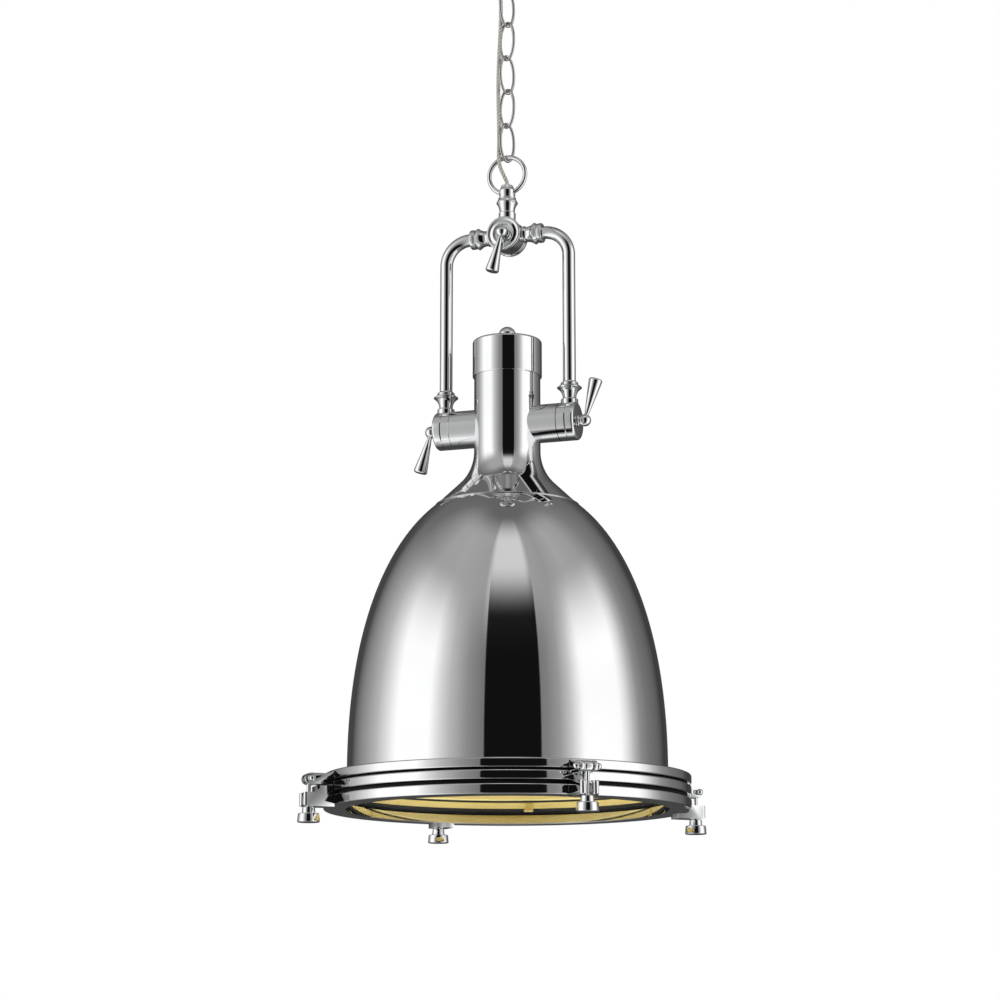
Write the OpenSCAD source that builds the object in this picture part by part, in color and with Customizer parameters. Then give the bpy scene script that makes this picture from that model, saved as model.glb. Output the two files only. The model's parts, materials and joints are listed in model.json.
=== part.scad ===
// Industrial pendant light: bell shade on a two-armed yoke, hung from a ceiling cup by chain.
// Frame: millimetres, +Z up, origin in the ceiling plane on the lamp's axis.
// The shade tilts about X. Everything hangs below Z = 0.

/* [Ceiling cup] */
// Outside diameter of the ceiling cup
canopy_d = 110; // [90:1:140]
// Height of the ceiling cup
canopy_h = 30; // [26:0.5:45]
// Sheet thickness of the ceiling cup
canopy_wall = 1.2; // [0.8:0.1:2]
// Rounding between the cup's skirt and its floor
canopy_round = 17; // [8:0.5:20]
// Length of the mounting bar
bar_l = 96; // [88:1:100]
// Width of the mounting bar
bar_w = 20; // [18:0.5:24]
// Thickness of the mounting bar
bar_t = 2.5; // [1.5:0.1:4]
// Depth of the bar's middle below the ceiling
bar_drop = 9; // [8:0.5:11]
// Distance between the two ceiling screws
screw_spacing = 76; // [72:0.5:78]
// Diameter of the ceiling screw holes
screw_hole_d = 5; // [4:0.1:6]
// Outside diameter of the threaded nipple
nipple_d = 10; // [8:0.1:12]
// Bore of the threaded nipple
nipple_bore_d = 7; // [5:0.1:7.4]
// Depth of the nipple's end inside the loop boss
nipple_grip = 6; // [4:0.5:7]
// Distance of the cable gland from the lamp's axis
gland_r = 20; // [19:0.5:30]
// Diameter of the gland body
gland_d = 11; // [8:0.1:13]
// Height of the gland body under the cup
gland_h = 8; // [5:0.5:10]
// Length of the terminal block
block_l = 14; // [10:0.5:16]
// Height of the terminal block
block_h = 10; // [8:0.5:11]

/* [Chain and ring] */
// Wire of the ceiling loop
loop_wire = 4; // [3:0.1:5]
// Outside diameter of the ceiling loop
loop_d = 26; // [22:0.5:34]
// Height of the loop's boss
boss_rise = 8; // [7:0.5:14]
// Diameter of the loop's boss
loop_boss_d = 16; // [13:0.5:20]
// Wire of the chain links
chain_wire = 3; // [2.6:0.1:4]
// Distance from one link to the next
link_pitch = 37; // [32:0.5:44]
// Outside width of a link
link_w = 22.5; // [18:0.5:26]
// Direction of the ceiling loop about the axis
chain_turn = 64; // [45:1:75]
// Play between one hanging piece and the next
hang_gap = 0.3; // [0.2:0.05:0.6]
// Outside diameter of the hanging ring
ring_d = 43.5; // [38:0.5:50]
// Wire of the hanging ring
ring_wire = 4.6; // [4:0.1:5.6]

/* [Hub] */
// Height of the ring's eye above the hub's axis
eye_rise = 46.2; // [44:0.1:54]
// Top of the stem above the ring's eye
stem_top = 7.4; // [6.6:0.1:12]
// Diameter of the stem
stem_d = 17.5; // [16.5:0.1:20]
// Height of the stem's ridge above the hub's axis
ridge_rise = 35.5; // [34:0.1:36.5]
// Diameter of the ridge round the stem and the sockets
ridge_d = 22; // [20.5:0.1:26]
// Diameter of the cable bush on the stem
bush_d = 11; // [9:0.1:12]
// Diameter of the hub
hub_d = 34; // [30:0.5:40]
// Length of the hub between its two faces
hub_l = 19; // [18:0.5:26]
// Diameter of the hub's end faces
face_d = 36; // [32:0.5:42]
// Thickness of the hub's end faces
face_t = 4; // [3.2:0.1:6]
// Diameter of the waist of the side sockets
socket_waist_d = 15.6; // [15.4:0.1:17]
// Reach of the side sockets from the lamp's axis
socket_reach = 38.7; // [37:0.1:42]

/* [Yoke arms] */
// Distance of each arm from the lamp's axis
arm_x = 66; // [65:0.5:80]
// Outside diameter of the arm tubes
tube_d = 13; // [11:0.1:13.2]
// Wall of the arm tubes
tube_wall = 1.5; // [1:0.1:2.5]
// Radius of the bend, at the middle of the tube
bend_r = 26; // [18:0.5:27]
// Height of the hub's axis above the trunnion axis
arm_drop = 200; // [150:1:260]
// Height of the lower ferrules
ferrule_h = 24; // [20:0.5:32]
// Diameter of the ferrule's ridge
ferrule_ridge_d = 25; // [21:0.1:26]
// Diameter of the ferrule's waist
ferrule_waist_d = 13.8; // [13:0.1:17]
// Diameter of the ferrule's base ring
ferrule_base_d = 17.6; // [16.8:0.1:18]

/* [Trunnion] */
// Diameter of the trunnion bosses and knuckles
trunnion_d = 38.8; // [34:0.2:44]
// Width of each knuckle
knuckle_w = 18; // [18:0.1:22]
// Gap between a knuckle and its boss
side_gap = 0.4; // [0.2:0.05:1]
// Diameter of the spigot that the knuckle turns on
spigot_d = 16; // [12:0.1:17]
// Length of the spigot
spigot_l = 8; // [6:0.5:10]
// Diameter of the lever screws
lever_screw_d = 8; // [6:0.1:9]
// Running clearance of pins and shafts, on the radius
run_fit = 0.06; // [0.02:0.01:0.1]
// Clearance where fixed pieces slip together, on the radius
slip_fit = 0.1; // [0.05:0.01:0.2]

/* [Levers] */
// Diameter of the lever's ball
ball_d = 12.4; // [10:0.1:14]
// Length of the lever from the ball's centre
lever_l = 43.5; // [34:0.5:56]
// Diameter of the lever's thick end
lever_end_d = 14; // [10:0.1:17]
// Rounding of the lever's flat end
lever_round = 2.4; // [1:0.1:3]
// Diameter of the lever at the ball
lever_root_d = 4.6; // [3:0.1:6]
// Lean of the side levers away from the knuckles
lever_lean = 16; // [5:1:25]
// Lean of the hub's lever away from the hub
hub_lever_lean = 3; // [2:1:25]
// Turn of the hub's lever from straight down
hub_lever_turn = 13; // [0:1:30]

/* [Neck and shade] */
// Outside diameter of the neck tube
neck_d = 67; // [60:0.5:76]
// Wall of the neck
neck_wall = 2; // [1.5:0.1:3]
// Height of the cap's lower edge above the trunnion axis
cap_rise = 51; // [40:0.5:70]
// Height of the neck cap
cap_h = 38; // [30:0.5:50]
// Wall of the neck cap
cap_wall = 1.5; // [1:0.1:2.5]
// Rounding on top of the neck cap
cap_round = 3; // [1.5:0.1:4]
// Diameter of the finial on the cap
finial_d = 17.5; // [13.5:0.1:20]
// Height of the finial
finial_h = 15; // [13:0.1:17]
// Drop from the trunnion axis to the start of the flare
flare_drop = 26; // [22:0.5:34]
// Radius of the flare
flare_r = 47.7; // [30:0.1:60]
// Steepest angle of the flare from upright
flare_angle = 46.7; // [35:0.1:52]
// Diameter of the shade at its top seam
seam_d = 144; // [130:0.5:170]
// Step at the seam, on the radius
seam_step = 0.4; // [0.1:0.1:0.8]
// Height of the bell shade
dome_h = 270; // [200:1:340]
// Fullness of the bell's curve: 2 is an ellipse
dome_power = 2.25; // [2:0.05:2.6]
// Sheet thickness of the bell shade
dome_wall = 1.5; // [1:0.1:2.5]

/* [Rim and lens] */
// Outside diameter of the rim
rim_d = 360; // [320:1:420]
// Width of the lip under the rim
lip_w = 22; // [20:0.5:26]
// Width of the ledge between the bell and the edge of the rim
ledge_w = 22.5; // [18:0.5:28]
// Height of the bezel ring
bezel_h = 10; // [8:0.5:14]
// Depth of the rebate that holds the lens seal
rebate = 1; // [0.5:0.1:2]
// Height of the lens seal
seal_h = 4.6; // [4:0.1:7]
// Thickness of the seal's lips
seal_lip = 0.8; // [0.5:0.1:1.2]
// Height of the retaining ring
retainer_h = 9; // [8:0.5:12]
// Direction of the lens clips, from the clamps
clip_turn = 61; // [20:1:70]
// Thickness of the rim gasket
gasket_t = 2; // [1:0.1:3]
// Height of the shade's flange ring
flange_h = 9; // [8:0.5:12]
// Depth of the grooves between the rings
groove_depth = 4; // [3:0.1:6]
// Rounding of the rings' edges
band_round = 1.6; // [0.5:0.1:2.4]

/* [Swing clamps] */
// Direction of the first clamp about the axis
clamp_turn = -50; // [-80:1:-10]
// Distance of the swing bolts from the edge of the rim
clamp_out = 22.5; // [19:0.5:30]
// Height of the hinge pins above the lip
pin_rise = 24.2; // [23:0.1:27]
// Diameter of the hinge pins
pin_d = 4.6; // [4:0.1:5]
// Diameter of the hinge pins' round heads
pin_head_d = 6.6; // [5.6:0.1:8]
// Outside diameter of the swing bolt's eye
eye_d = 10.6; // [10:0.1:12]
// Thickness of the swing bolt's eye
eye_t = 9.4; // [7:0.1:11]
// Thickness of each hinge ear
ear_t = 3.2; // [2.6:0.1:5]
// Diameter of the swing bolt's shank
bolt_d = 4.2; // [4:0.1:6]
// Width of the fork lug
fork_w = 18.4; // [16:0.1:24]
// Width of the fork's slot
slot_w = 6.8; // [6.4:0.1:8]
// Reach of the fork past the bolt
fork_reach = 7.5; // [6:0.5:10]
// Distance from the hinge pin to the thumb nut
nut_drop = 26.8; // [26:0.1:32]
// Height of the nut's neck
nut_neck_h = 6; // [4:0.5:9]
// Diameter of the nut's neck
nut_neck_d = 13; // [11:0.1:16]
// Height of the nut's flange
nut_flange_h = 8.6; // [6:0.1:12]
// Diameter of the nut's flange
nut_flange_d = 21.6; // [18:0.1:26]

/* [Lamp inside] */
// Diameter of the central rod
rod_d = 10; // [8:0.1:12]
// Drop from the trunnion axis to the lampholder's top
holder_drop = 56; // [44:0.5:70]
// Diameter of the lampholder
holder_d = 40; // [36:0.5:44]
// Length of the lampholder
holder_l = 46; // [36:0.5:60]
// Diameter of the bulb's screw cap
bulb_cap_d = 26.4; // [22:0.2:28]
// Diameter of the bulb
bulb_d = 60; // [50:1:90]
// Length of the bulb's glass
bulb_l = 84; // [80:1:120]

/* [Hidden] */
$fn = 96;
STEPS = 10;
LINKS = 6;
CLAMPS = 4;
SEAT = 0.4;
BUSH_FLOOR = 1.2;
RIDGE_LAND = 0.8;

// Heights, from the ceiling down
loop_r = (loop_d - loop_wire) / 2;
loop_pivot_z = -canopy_h - boss_rise - 2 * loop_r + loop_wire / 2;
chain_top_z = loop_pivot_z + (loop_wire - chain_wire) / 2;
ring_r = (ring_d - ring_wire) / 2;
ring_z = pivot_z(LINKS) + (chain_wire + ring_wire) / 2 + hang_gap - ring_r;
eye_z = ring_z - ring_r;
hub_z = eye_z - eye_rise;
axle_z = hub_z - arm_drop;
cap_z = axle_z + cap_rise;
cap_top_z = cap_z + cap_h;
neck_top_z = cap_top_z - cap_wall;
neck_r = neck_d / 2;
flare_z = axle_z - flare_drop;
flare_end_r = neck_r + flare_r * (1 - cos(flare_angle));
flare_end_z = flare_z - flare_r * sin(flare_angle);
seam_r = seam_d / 2;
seam_z = flare_end_z - (seam_r - flare_end_r) / tan(flare_angle);
dome_z = seam_z - dome_h;
flange_z = dome_z - flange_h;
gasket_z = flange_z - gasket_t;
retainer_z = gasket_z - retainer_h;
lip_z = retainer_z - seal_h + rebate - bezel_h;
seal_z = lip_z + bezel_h - rebate;
pin_z = lip_z + pin_rise;
nut_z = pin_z - nut_drop;

// Radii of the rim
rim_r = rim_d / 2;
lip_r = rim_r - lip_w;
dome_r = rim_r - ledge_w;
clamp_r = rim_r + clamp_out;
groove_r = rim_r - groove_depth;
retainer_r = lip_r + 4;
flange_in_r = dome_r - dome_wall - 1.5;
lens_r = groove_r - seal_lip - slip_fit;

// Trunnion and hub
trunnion_r = trunnion_d / 2;
knuckle_x = arm_x - knuckle_w / 2;
boss_end = knuckle_x - side_gap;
knuckle_seat = seat_depth(trunnion_r, ferrule_base_d / 2);
hub_r = hub_d / 2;
face_dish = 0.72 * face_t;
stem_seat = seat_depth(hub_r, stem_d / 2);
socket_seat = seat_depth(hub_r, socket_waist_d / 2);
tube_r = tube_d / 2;
tube_grip = 10;

// Route of the supply cable beside the chain: distance from the axis, drift to the front, share of the drop
CABLE_D = 4;
CABLE_SIDES = 8;
CABLE_ROUTE = [
  [20, 0, 0], [20, 0, 0.03], [18.7, 0, 0.068], [14.5, 0, 0.109], [9.9, 0, 0.15], [7.5, 0, 0.196],
  [6.6, 0, 0.244], [6.4, 0, 0.293], [6.7, 0, 0.342], [7.3, 0, 0.391], [7.9, 0, 0.44], [8.5, 0, 0.489],
  [8.9, 0, 0.538], [9.1, 0, 0.587], [9.1, 0.2, 0.636], [8.9, 0.5, 0.684], [8.6, 1, 0.733], [8.4, 1.5, 0.778],
  [8.35, 2.1, 0.82], [8.5, 2.8, 0.857], [8.55, 3.1, 0.895], [7.5, 3.1, 0.925], [4.8, 2.35, 0.951],
  [2, 1.1, 0.972], [0.4, 0.2, 0.987], [0, 0, 1]
];
cable_side = chain_turn + 135;
cable_top_z = -canopy_h - gland_h;
cable_foot_z = eye_z + stem_top + BUSH_FLOOR;
cable_points = [for (p = CABLE_ROUTE)
  let (far = p[0] > 10 ? p[0] * gland_r / CABLE_ROUTE[0][0] : p[0])
    [
      far * cos(cable_side) - p[1] * sin(cable_side),
      far * sin(cable_side) + p[1] * cos(cable_side),
      cable_top_z + (cable_foot_z - cable_top_z) * p[2]
    ]];

function pivot_z(k) = chain_top_z - k * link_pitch;

// Height of a flat cut on a round bar that is wide enough to seat a round foot
function seat_depth(bar_r, foot_r) = sqrt(bar_r * bar_r - pow(foot_r + SEAT, 2));

function arc_points(x, y, r, from, to) =
  [for (i = [0:STEPS]) let (a = from + (to - from) * i / STEPS) [x + r * cos(a), y + r * sin(a)]];

// Outline of a ring with two rounded outer edges
function band(r_in, r_out, low, high, round) = concat(
  [[r_in, low]],
  arc_points(r_out - round, low + round, round, -90, 0),
  arc_points(r_out - round, high - round, round, 0, 90),
  [[r_in, high]]
);

module turned(points) {
  rotate_extrude() polygon(points);
}

module along_x(x) {
  translate([x, 0, 0]) rotate([0, 90, 0]) children();
}

module chrome() {
  color([0.78, 0.79, 0.80]) children();
}

module steel() {
  color([0.60, 0.61, 0.62]) children();
}

module black_rubber() {
  color([0.06, 0.06, 0.06]) children();
}

module at_clamps() {
  for (i = [0:CLAMPS - 1]) at_clamp(i) children();
}

module at_clamp(i) {
  rotate([0, 0, clamp_turn + 360 * i / CLAMPS]) children();
}

// Ceiling cup

module mounting_bar() {
  half = bar_l / 2;
  pad = (bar_l - screw_spacing) / 2 + screw_hole_d;
  bend = half - pad - bar_drop;
  steel() difference() {
    translate([0, bar_w / 2, 0]) rotate([90, 0, 0]) linear_extrude(bar_w) polygon([
      [-half, -bar_t], [-half, 0], [-half + pad, 0], [-bend, -bar_drop], [bend, -bar_drop],
      [half - pad, 0], [half, 0], [half, -bar_t], [half - pad - bar_t / 2, -bar_t],
      [bend - bar_t / 2, -bar_drop - bar_t], [-bend + bar_t / 2, -bar_drop - bar_t],
      [-half + pad + bar_t / 2, -bar_t]
    ]);
    for (s = [-1, 1]) translate([s * screw_spacing / 2, 0, -2 * bar_t])
      cylinder(d = screw_hole_d, h = 4 * bar_t);
    translate([0, 0, -bar_drop - 2 * bar_t]) cylinder(r = nipple_d / 2 + slip_fit, h = 4 * bar_t);
  }
}

module canopy() {
  r = canopy_d / 2;
  chrome() difference() {
    turned(concat([[0, -canopy_h]],
      arc_points(r - canopy_round, canopy_round - canopy_h, canopy_round, -90, 0),
      [[r, 0], [r - canopy_wall, 0]],
      arc_points(r - canopy_round, canopy_round - canopy_h, canopy_round - canopy_wall, 0, -90),
      [[0, canopy_wall - canopy_h]]));
    translate([0, 0, -canopy_h - 1]) cylinder(r = nipple_d / 2 + slip_fit, h = canopy_wall + 2);
    at_gland() translate([0, 0, -canopy_h - 1]) cylinder(r = gland_d / 4 + slip_fit, h = canopy_wall + 2);
  }
}

module at_gland() {
  rotate([0, 0, cable_side]) translate([gland_r, 0, 0]) children();
}

module hanger_nipple() {
  top = -bar_drop + bar_t + nipple_d / 4;
  bottom = -canopy_h - nipple_grip;
  steel() difference() {
    translate([0, 0, bottom]) cylinder(d = nipple_d, h = top - bottom);
    translate([0, 0, bottom - 1]) cylinder(d = nipple_bore_d, h = top - bottom + 2);
  }
}

module nipple_nuts() {
  nut_h = bar_t + 1;
  steel() for (z = [-bar_drop, -canopy_h + canopy_wall]) difference() {
    translate([0, 0, z]) cylinder(d = nipple_d * 1.8, h = nut_h, $fn = 6);
    translate([0, 0, z - 1]) cylinder(r = nipple_d / 2 + slip_fit, h = nut_h + 2);
  }
}

module ceiling_loop() {
  boss_z = -canopy_h - boss_rise;
  chrome() difference() {
    union() {
      rotate([0, 0, chain_turn]) translate([0, 0, loop_pivot_z + loop_r]) rotate([90, 0, 0])
        rotate_extrude() translate([loop_r, 0]) circle(d = loop_wire);
      translate([0, 0, boss_z - loop_wire / 4])
        cylinder(d1 = loop_wire * 1.6, d2 = loop_boss_d, h = boss_rise * 0.4);
      translate([0, 0, boss_z + boss_rise * 0.4 - loop_wire / 4])
        cylinder(d = loop_boss_d, h = boss_rise * 0.6 + loop_wire / 4);
    }
    translate([0, 0, -canopy_h - nipple_grip]) cylinder(r = nipple_d / 2 + slip_fit, h = nipple_grip + 1);
  }
}

module cable_gland() {
  top = -canopy_h + canopy_wall + 3;
  color([0.85, 0.85, 0.83]) at_gland() translate([0, 0, -canopy_h]) {
    turned([
      [0, -gland_h], [gland_d * 0.36, -gland_h], [gland_d / 2, -gland_h * 0.55], [gland_d / 2, 0],
      [gland_d / 4, 0], [gland_d / 4, top + canopy_h], [0, top + canopy_h]
    ]);
  }
}

module terminal_block() {
  wide = bar_w * 0.8;
  x = nipple_d * 0.9 + 1;
  z = -bar_drop - bar_t - block_h;
  color([0.92, 0.91, 0.86]) difference() {
    translate([x, -wide / 2, z]) cube([block_l, wide, block_h]);
    for (s = [-1, 0, 1]) along_x(x - 1) translate([block_h / 2 - z - block_h, s * wide / 3.2, 0])
      cylinder(d = 3, h = block_l + 2);
  }
}

module power_cable() {
  color([0.80, 0.80, 0.78]) swept_tube(cable_points, CABLE_D, CABLE_SIDES);
}

function unit(v) = v / norm(v);

function route_heading(route, i) = unit(route[min(i + 1, len(route) - 1)] - route[max(i - 1, 0)]);

// A round tube along a route that runs mostly downwards
module swept_tube(route, d, sides) {
  last = len(route) - 1;
  rings = [for (i = [0:last])
    let (
      t = i == 0 || i == last ? [0, 0, -1] : route_heading(route, i),
      u = unit(cross([0, 1, 0], t)),
      v = cross(t, u)
    )
    for (s = [0:sides - 1]) route[i] + d / 2 * (u * cos(360 * s / sides) + v * sin(360 * s / sides))];
  sides_list = [for (i = [0:last - 1]) for (s = [0:sides - 1]) let (n = (s + 1) % sides)
    let (a = i * sides, b = a + sides) each [[a + s, a + n, b + s], [a + n, b + n, b + s]]];
  start_cap = [for (s = [1:sides - 2]) [0, s + 1, s]];
  end_cap = [for (s = [1:sides - 2]) [last * sides, last * sides + s, last * sides + s + 1]];
  polyhedron(points = rings, faces = concat(sides_list, start_cap, end_cap));
}

// Chain

// A long round-ended link in the XZ plane, centred
module long_link() {
  end_r = (link_w - chain_wire) / 2;
  rise = (link_pitch + chain_wire + hang_gap) / 2 - end_r;
  rotate([90, 0, 0]) for (s = [0, 180]) rotate([0, 0, s]) {
    translate([0, rise, 0]) rotate_extrude(angle = 180) translate([end_r, 0]) circle(d = chain_wire);
    translate([end_r, -rise, 0]) rotate([-90, 0, 0]) cylinder(d = chain_wire, h = 2 * rise);
  }
}

module chain_link(k) {
  middle = (pivot_z(k - 1) + pivot_z(k) + chain_wire + hang_gap) / 2;
  chrome() translate([0, 0, middle]) rotate([0, 0, chain_turn + 90 * k]) long_link();
}

module hanging_ring() {
  chrome() translate([0, 0, ring_z]) rotate([90, 0, 0])
    rotate_extrude() translate([ring_r, 0]) circle(d = ring_wire);
}

// Hub

// A hollow curve that leaves one point straight up and ends in another, further out
function cove(r_from, from, r_to, to) =
  let (
    out = r_to - r_from,
    up = to - from,
    round = (up * up + out * out) / (2 * out),
    turn = atan2(up, round - out)
  ) [for (i = [0:STEPS]) let (a = turn * i / STEPS) [r_from + round * (1 - cos(a)), from + round * sin(a)]];

// A sharp turned ridge: a cove up to it, a narrow land and a short slope down
function ridge(r, at, foot_r, foot, far_r, far) = concat(
  cove(foot_r, foot, r - RIDGE_LAND / 2, at - RIDGE_LAND),
  [[r, at - RIDGE_LAND / 2], [r, at + RIDGE_LAND / 2], [far_r, far]]);

module hub_stem() {
  r = stem_d / 2;
  foot = hub_z + stem_seat;
  ridge_z = hub_z + ridge_rise;
  top = eye_z + stem_top;
  shoulder = eye_z + stem_top / 4;
  chrome() difference() {
    turned(concat(
      [[0, foot], [r, foot]],
      arc_points(r - 1, foot + 10, 1, 0, 80),
      ridge(ridge_d / 2, ridge_z, r - 0.9, foot + 11.6, r + 0.7, ridge_z + 3.4),
      [[r + 0.2, ridge_z + 3.8], [r + 0.3, ridge_z + 4.6], [r - 0.5, eye_z - stem_top / 3], [r, eye_z]],
      [[r - 0.1, shoulder]],
      arc_points(r - 3.1, shoulder, 3, 0, 60),
      [[bush_d / 2 + 0.8, top], [0, top]]));
    translate([0, 0, eye_z]) rotate([0, 90, 0]) ring_passage();
  }
}

// The room that the ring's wire needs through the stem as the ring swings
module ring_passage() {
  reach = stem_d / 2 + 1;
  wire_r = ring_r - ring_wire / 2 - hang_gap;
  edge = asin(reach / wire_r);
  turned(concat([[0, -reach]], arc_points(ring_r, 0, wire_r, 180 + edge, 180 - edge), [[0, reach]]));
}

module cable_bush() {
  z = eye_z + stem_top;
  r = bush_d / 2;
  hole = CABLE_D / 2 + 0.5;
  color([0.82, 0.82, 0.80]) translate([0, 0, z])
    turned([[0, 0], [r, 0], [r, 1], [r - 1.6, 2], [hole, 2], [hole, BUSH_FLOOR], [0, BUSH_FLOOR]]);
}

module hub_body() {
  chrome() difference() {
    translate([0, hub_l / 2, hub_z]) rotate([90, 0, 0]) cylinder(d = hub_d, h = hub_l);
    translate([0, 0, hub_z + stem_seat]) cylinder(r = stem_d / 2 + SEAT, h = hub_d);
    for (s = [-1, 1]) translate([0, 0, hub_z]) rotate([0, s * 90, 0]) translate([0, 0, socket_seat])
      cylinder(r = socket_waist_d / 2 + SEAT, h = hub_d);
    translate([0, 1, hub_z]) rotate([90, 0, 0]) cylinder(r = lever_screw_d / 2 + run_fit, h = hub_l);
  }
}

// Turned end face: a broad rounded ring about the middle that its outline goes on to
module hub_face(middle, bore) {
  r = face_d / 2;
  difference() {
    turned(concat([[0, 0], [r - 0.6, 0], [r, 0.6]], arc_points(r - 1.2, face_t - 1.2, 1.2, 0, 90), middle));
    translate([0, 0, -1]) cylinder(r = bore, h = face_t + 2);
  }
}

// The front face is dished in two steps, and the lever's collar sits on its floor
module hub_front_face() {
  r = face_d / 2;
  floor_z = face_t - face_dish;
  step_z = face_t - face_dish * 0.4;
  chrome() translate([0, -hub_l / 2, hub_z]) rotate([90, 0, 0]) hub_face(
    [[r * 0.67, face_t], [r * 0.64, step_z], [r * 0.55, step_z], [r * 0.52, floor_z], [0, floor_z]],
    lever_screw_d / 2 + run_fit);
}

// The rear face has a ring groove and a hexagon recess in its middle
module hub_rear_face() {
  r = face_d / 2;
  groove_z = face_t - 1.2;
  chrome() translate([0, hub_l / 2, hub_z]) rotate([-90, 0, 0]) difference() {
    hub_face(
      [[r * 0.74, face_t], [r * 0.70, groove_z], [r * 0.60, groove_z], [r * 0.52, face_t], [0, face_t]],
      lever_screw_d / 4);
    translate([0, 0, face_t / 2]) cylinder(d = lever_screw_d * 1.1, h = face_t, $fn = 6);
  }
}

// Turned socket that takes the end of an arm
module arm_socket() {
  waist = socket_waist_d / 2;
  end = socket_reach;
  ridge_x = end - 8.4;
  collar = ridge_d / 2 - 0.9;
  base = hub_r + 0.8;
  difference() {
    turned(concat(
      [[0, socket_seat], [waist, socket_seat], [waist, base]],
      [[waist + 0.9, base + 0.4], [waist + 0.9, base + 2.2], [waist, base + 3.4]],
      ridge(ridge_d / 2, ridge_x, waist, base + 3.8, collar - 0.7, ridge_x + 2.8),
      [[collar - 1.2, ridge_x + 3]],
      arc_points(collar - 1.2, ridge_x + 4.6, 1.2, -90, 0),
      arc_points(collar - 1.2, end - 1.2, 1.2, 0, 90),
      [[0, end]]));
    translate([0, 0, end - tube_grip]) cylinder(r = tube_r + slip_fit, h = tube_grip + 1);
  }
}

module socket(side) {
  chrome() translate([0, 0, hub_z]) rotate([0, side * 90, 0]) arm_socket();
}

// Yoke arms

// The arm's centre line as a solid rod: out from the hub, round the bend and down
module arm_rod(r, over) {
  start = socket_reach - tube_grip + SEAT - over;
  foot = axle_z + knuckle_seat + ferrule_h - tube_grip + SEAT - over;
  bend_x = arm_x - bend_r;
  bend_z = hub_z - bend_r;
  translate([0, 0, hub_z]) along_x(start) cylinder(r = r, h = bend_x - start);
  translate([bend_x, 0, bend_z]) rotate([90, 0, 0])
    rotate_extrude(angle = 90) translate([bend_r, 0]) circle(r = r);
  translate([arm_x, 0, foot]) cylinder(r = r, h = bend_z - foot);
}

module arm(side) {
  chrome() mirror([side < 0 ? 1 : 0, 0, 0]) difference() {
    arm_rod(tube_r, 0);
    arm_rod(tube_r - tube_wall, 1);
  }
}

module ferrule(side) {
  base = ferrule_base_d / 2;
  waist = ferrule_waist_d / 2;
  ridge_h = ferrule_h - 6.4;
  bead_h = ferrule_h * 0.2;
  lip = tube_r + 2;
  chrome() translate([side * arm_x, 0, axle_z + knuckle_seat]) difference() {
    turned(concat([[0, 0], [base, 0]],
      arc_points(base - 1, bead_h, 1, 0, 90),
      [[waist, bead_h + 1.8]],
      ridge(ferrule_ridge_d / 2, ridge_h, waist, bead_h + 2.6, lip + 1.2, ridge_h + 2.4),
      [[lip, ridge_h + 2.8], [lip, ridge_h + 3.2]],
      arc_points(lip - 0.6, ridge_h + 4.4, 1, -60, 60),
      [[tube_r + 1, ferrule_h], [0, ferrule_h]]));
    translate([0, 0, ferrule_h - tube_grip]) cylinder(r = tube_r + slip_fit, h = tube_grip + 1);
  }
}

// Trunnion

module knuckle(side) {
  groove_x = knuckle_w * 0.5;
  chrome() mirror([side < 0 ? 1 : 0, 0, 0]) translate([0, 0, axle_z]) difference() {
    along_x(knuckle_x) turned(concat([[0, 0], [trunnion_r - 0.3, 0], [trunnion_r, 0.3]],
      [[trunnion_r, groove_x - 0.5], [trunnion_r - 0.7, groove_x - 0.3], [trunnion_r - 0.7, groove_x + 0.3]],
      [[trunnion_r, groove_x + 0.5]],
      arc_points(trunnion_r - 1, knuckle_w - 1, 1, 0, 90),
      [[0, knuckle_w]]));
    along_x(knuckle_x - 1) cylinder(r = spigot_d / 2 + run_fit, h = spigot_l + 2);
    along_x(knuckle_x) cylinder(r = lever_screw_d / 2 + run_fit, h = knuckle_w + 1);
    translate([arm_x, 0, knuckle_seat]) cylinder(r = ferrule_base_d / 2 + SEAT, h = trunnion_r);
  }
}

module trunnion_bosses() {
  chrome() for (side = [0, 1]) mirror([side, 0, 0]) difference() {
    translate([0, 0, axle_z]) union() {
      along_x(0) cylinder(r = trunnion_r, h = boss_end);
      along_x(boss_end - 1) cylinder(r = spigot_d / 2, h = spigot_l + 1);
    }
    translate([0, 0, axle_z - trunnion_d]) cylinder(r = neck_r, h = 2 * trunnion_d);
    translate([0, 0, axle_z]) along_x(knuckle_x - 2)
      cylinder(r = lever_screw_d / 2 + hang_gap, h = spigot_l + 4);
  }
}

// Clamp lever: screw down -Z, ball above the face at Z = 0, tapered handle leaning outwards over +X
module clamp_lever(screw_l, lean) {
  ball_r = ball_d / 2;
  ball_z = ball_r + 0.8;
  end_r = lever_end_d / 2;
  root_r = lever_root_d / 2;
  union() {
    translate([0, 0, -screw_l]) cylinder(d = lever_screw_d, h = screw_l + 1);
    translate([0, 0, hang_gap]) cylinder(r = ball_r, h = 1.6);
    translate([0, 0, hang_gap]) cylinder(r1 = ball_r * 0.86, r2 = ball_r * 0.6, h = ball_z - hang_gap);
    translate([0, 0, ball_z]) sphere(r = ball_r);
    translate([0, 0, ball_z]) rotate([0, 90 - lean, 0]) turned(concat(
      [[0, 0], [root_r, 0], [root_r, ball_r + 0.6]],
      arc_points(end_r - lever_round, lever_l - lever_round, lever_round, 0, 90),
      [[0, lever_l]]));
  }
}

module hub_lever() {
  seat = hub_l / 2 + face_t - face_dish;
  chrome() translate([0, -seat, hub_z]) rotate([90, 0, 0]) rotate([0, 0, -90 - hub_lever_turn])
    clamp_lever(seat - 2, hub_lever_lean);
}

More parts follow.
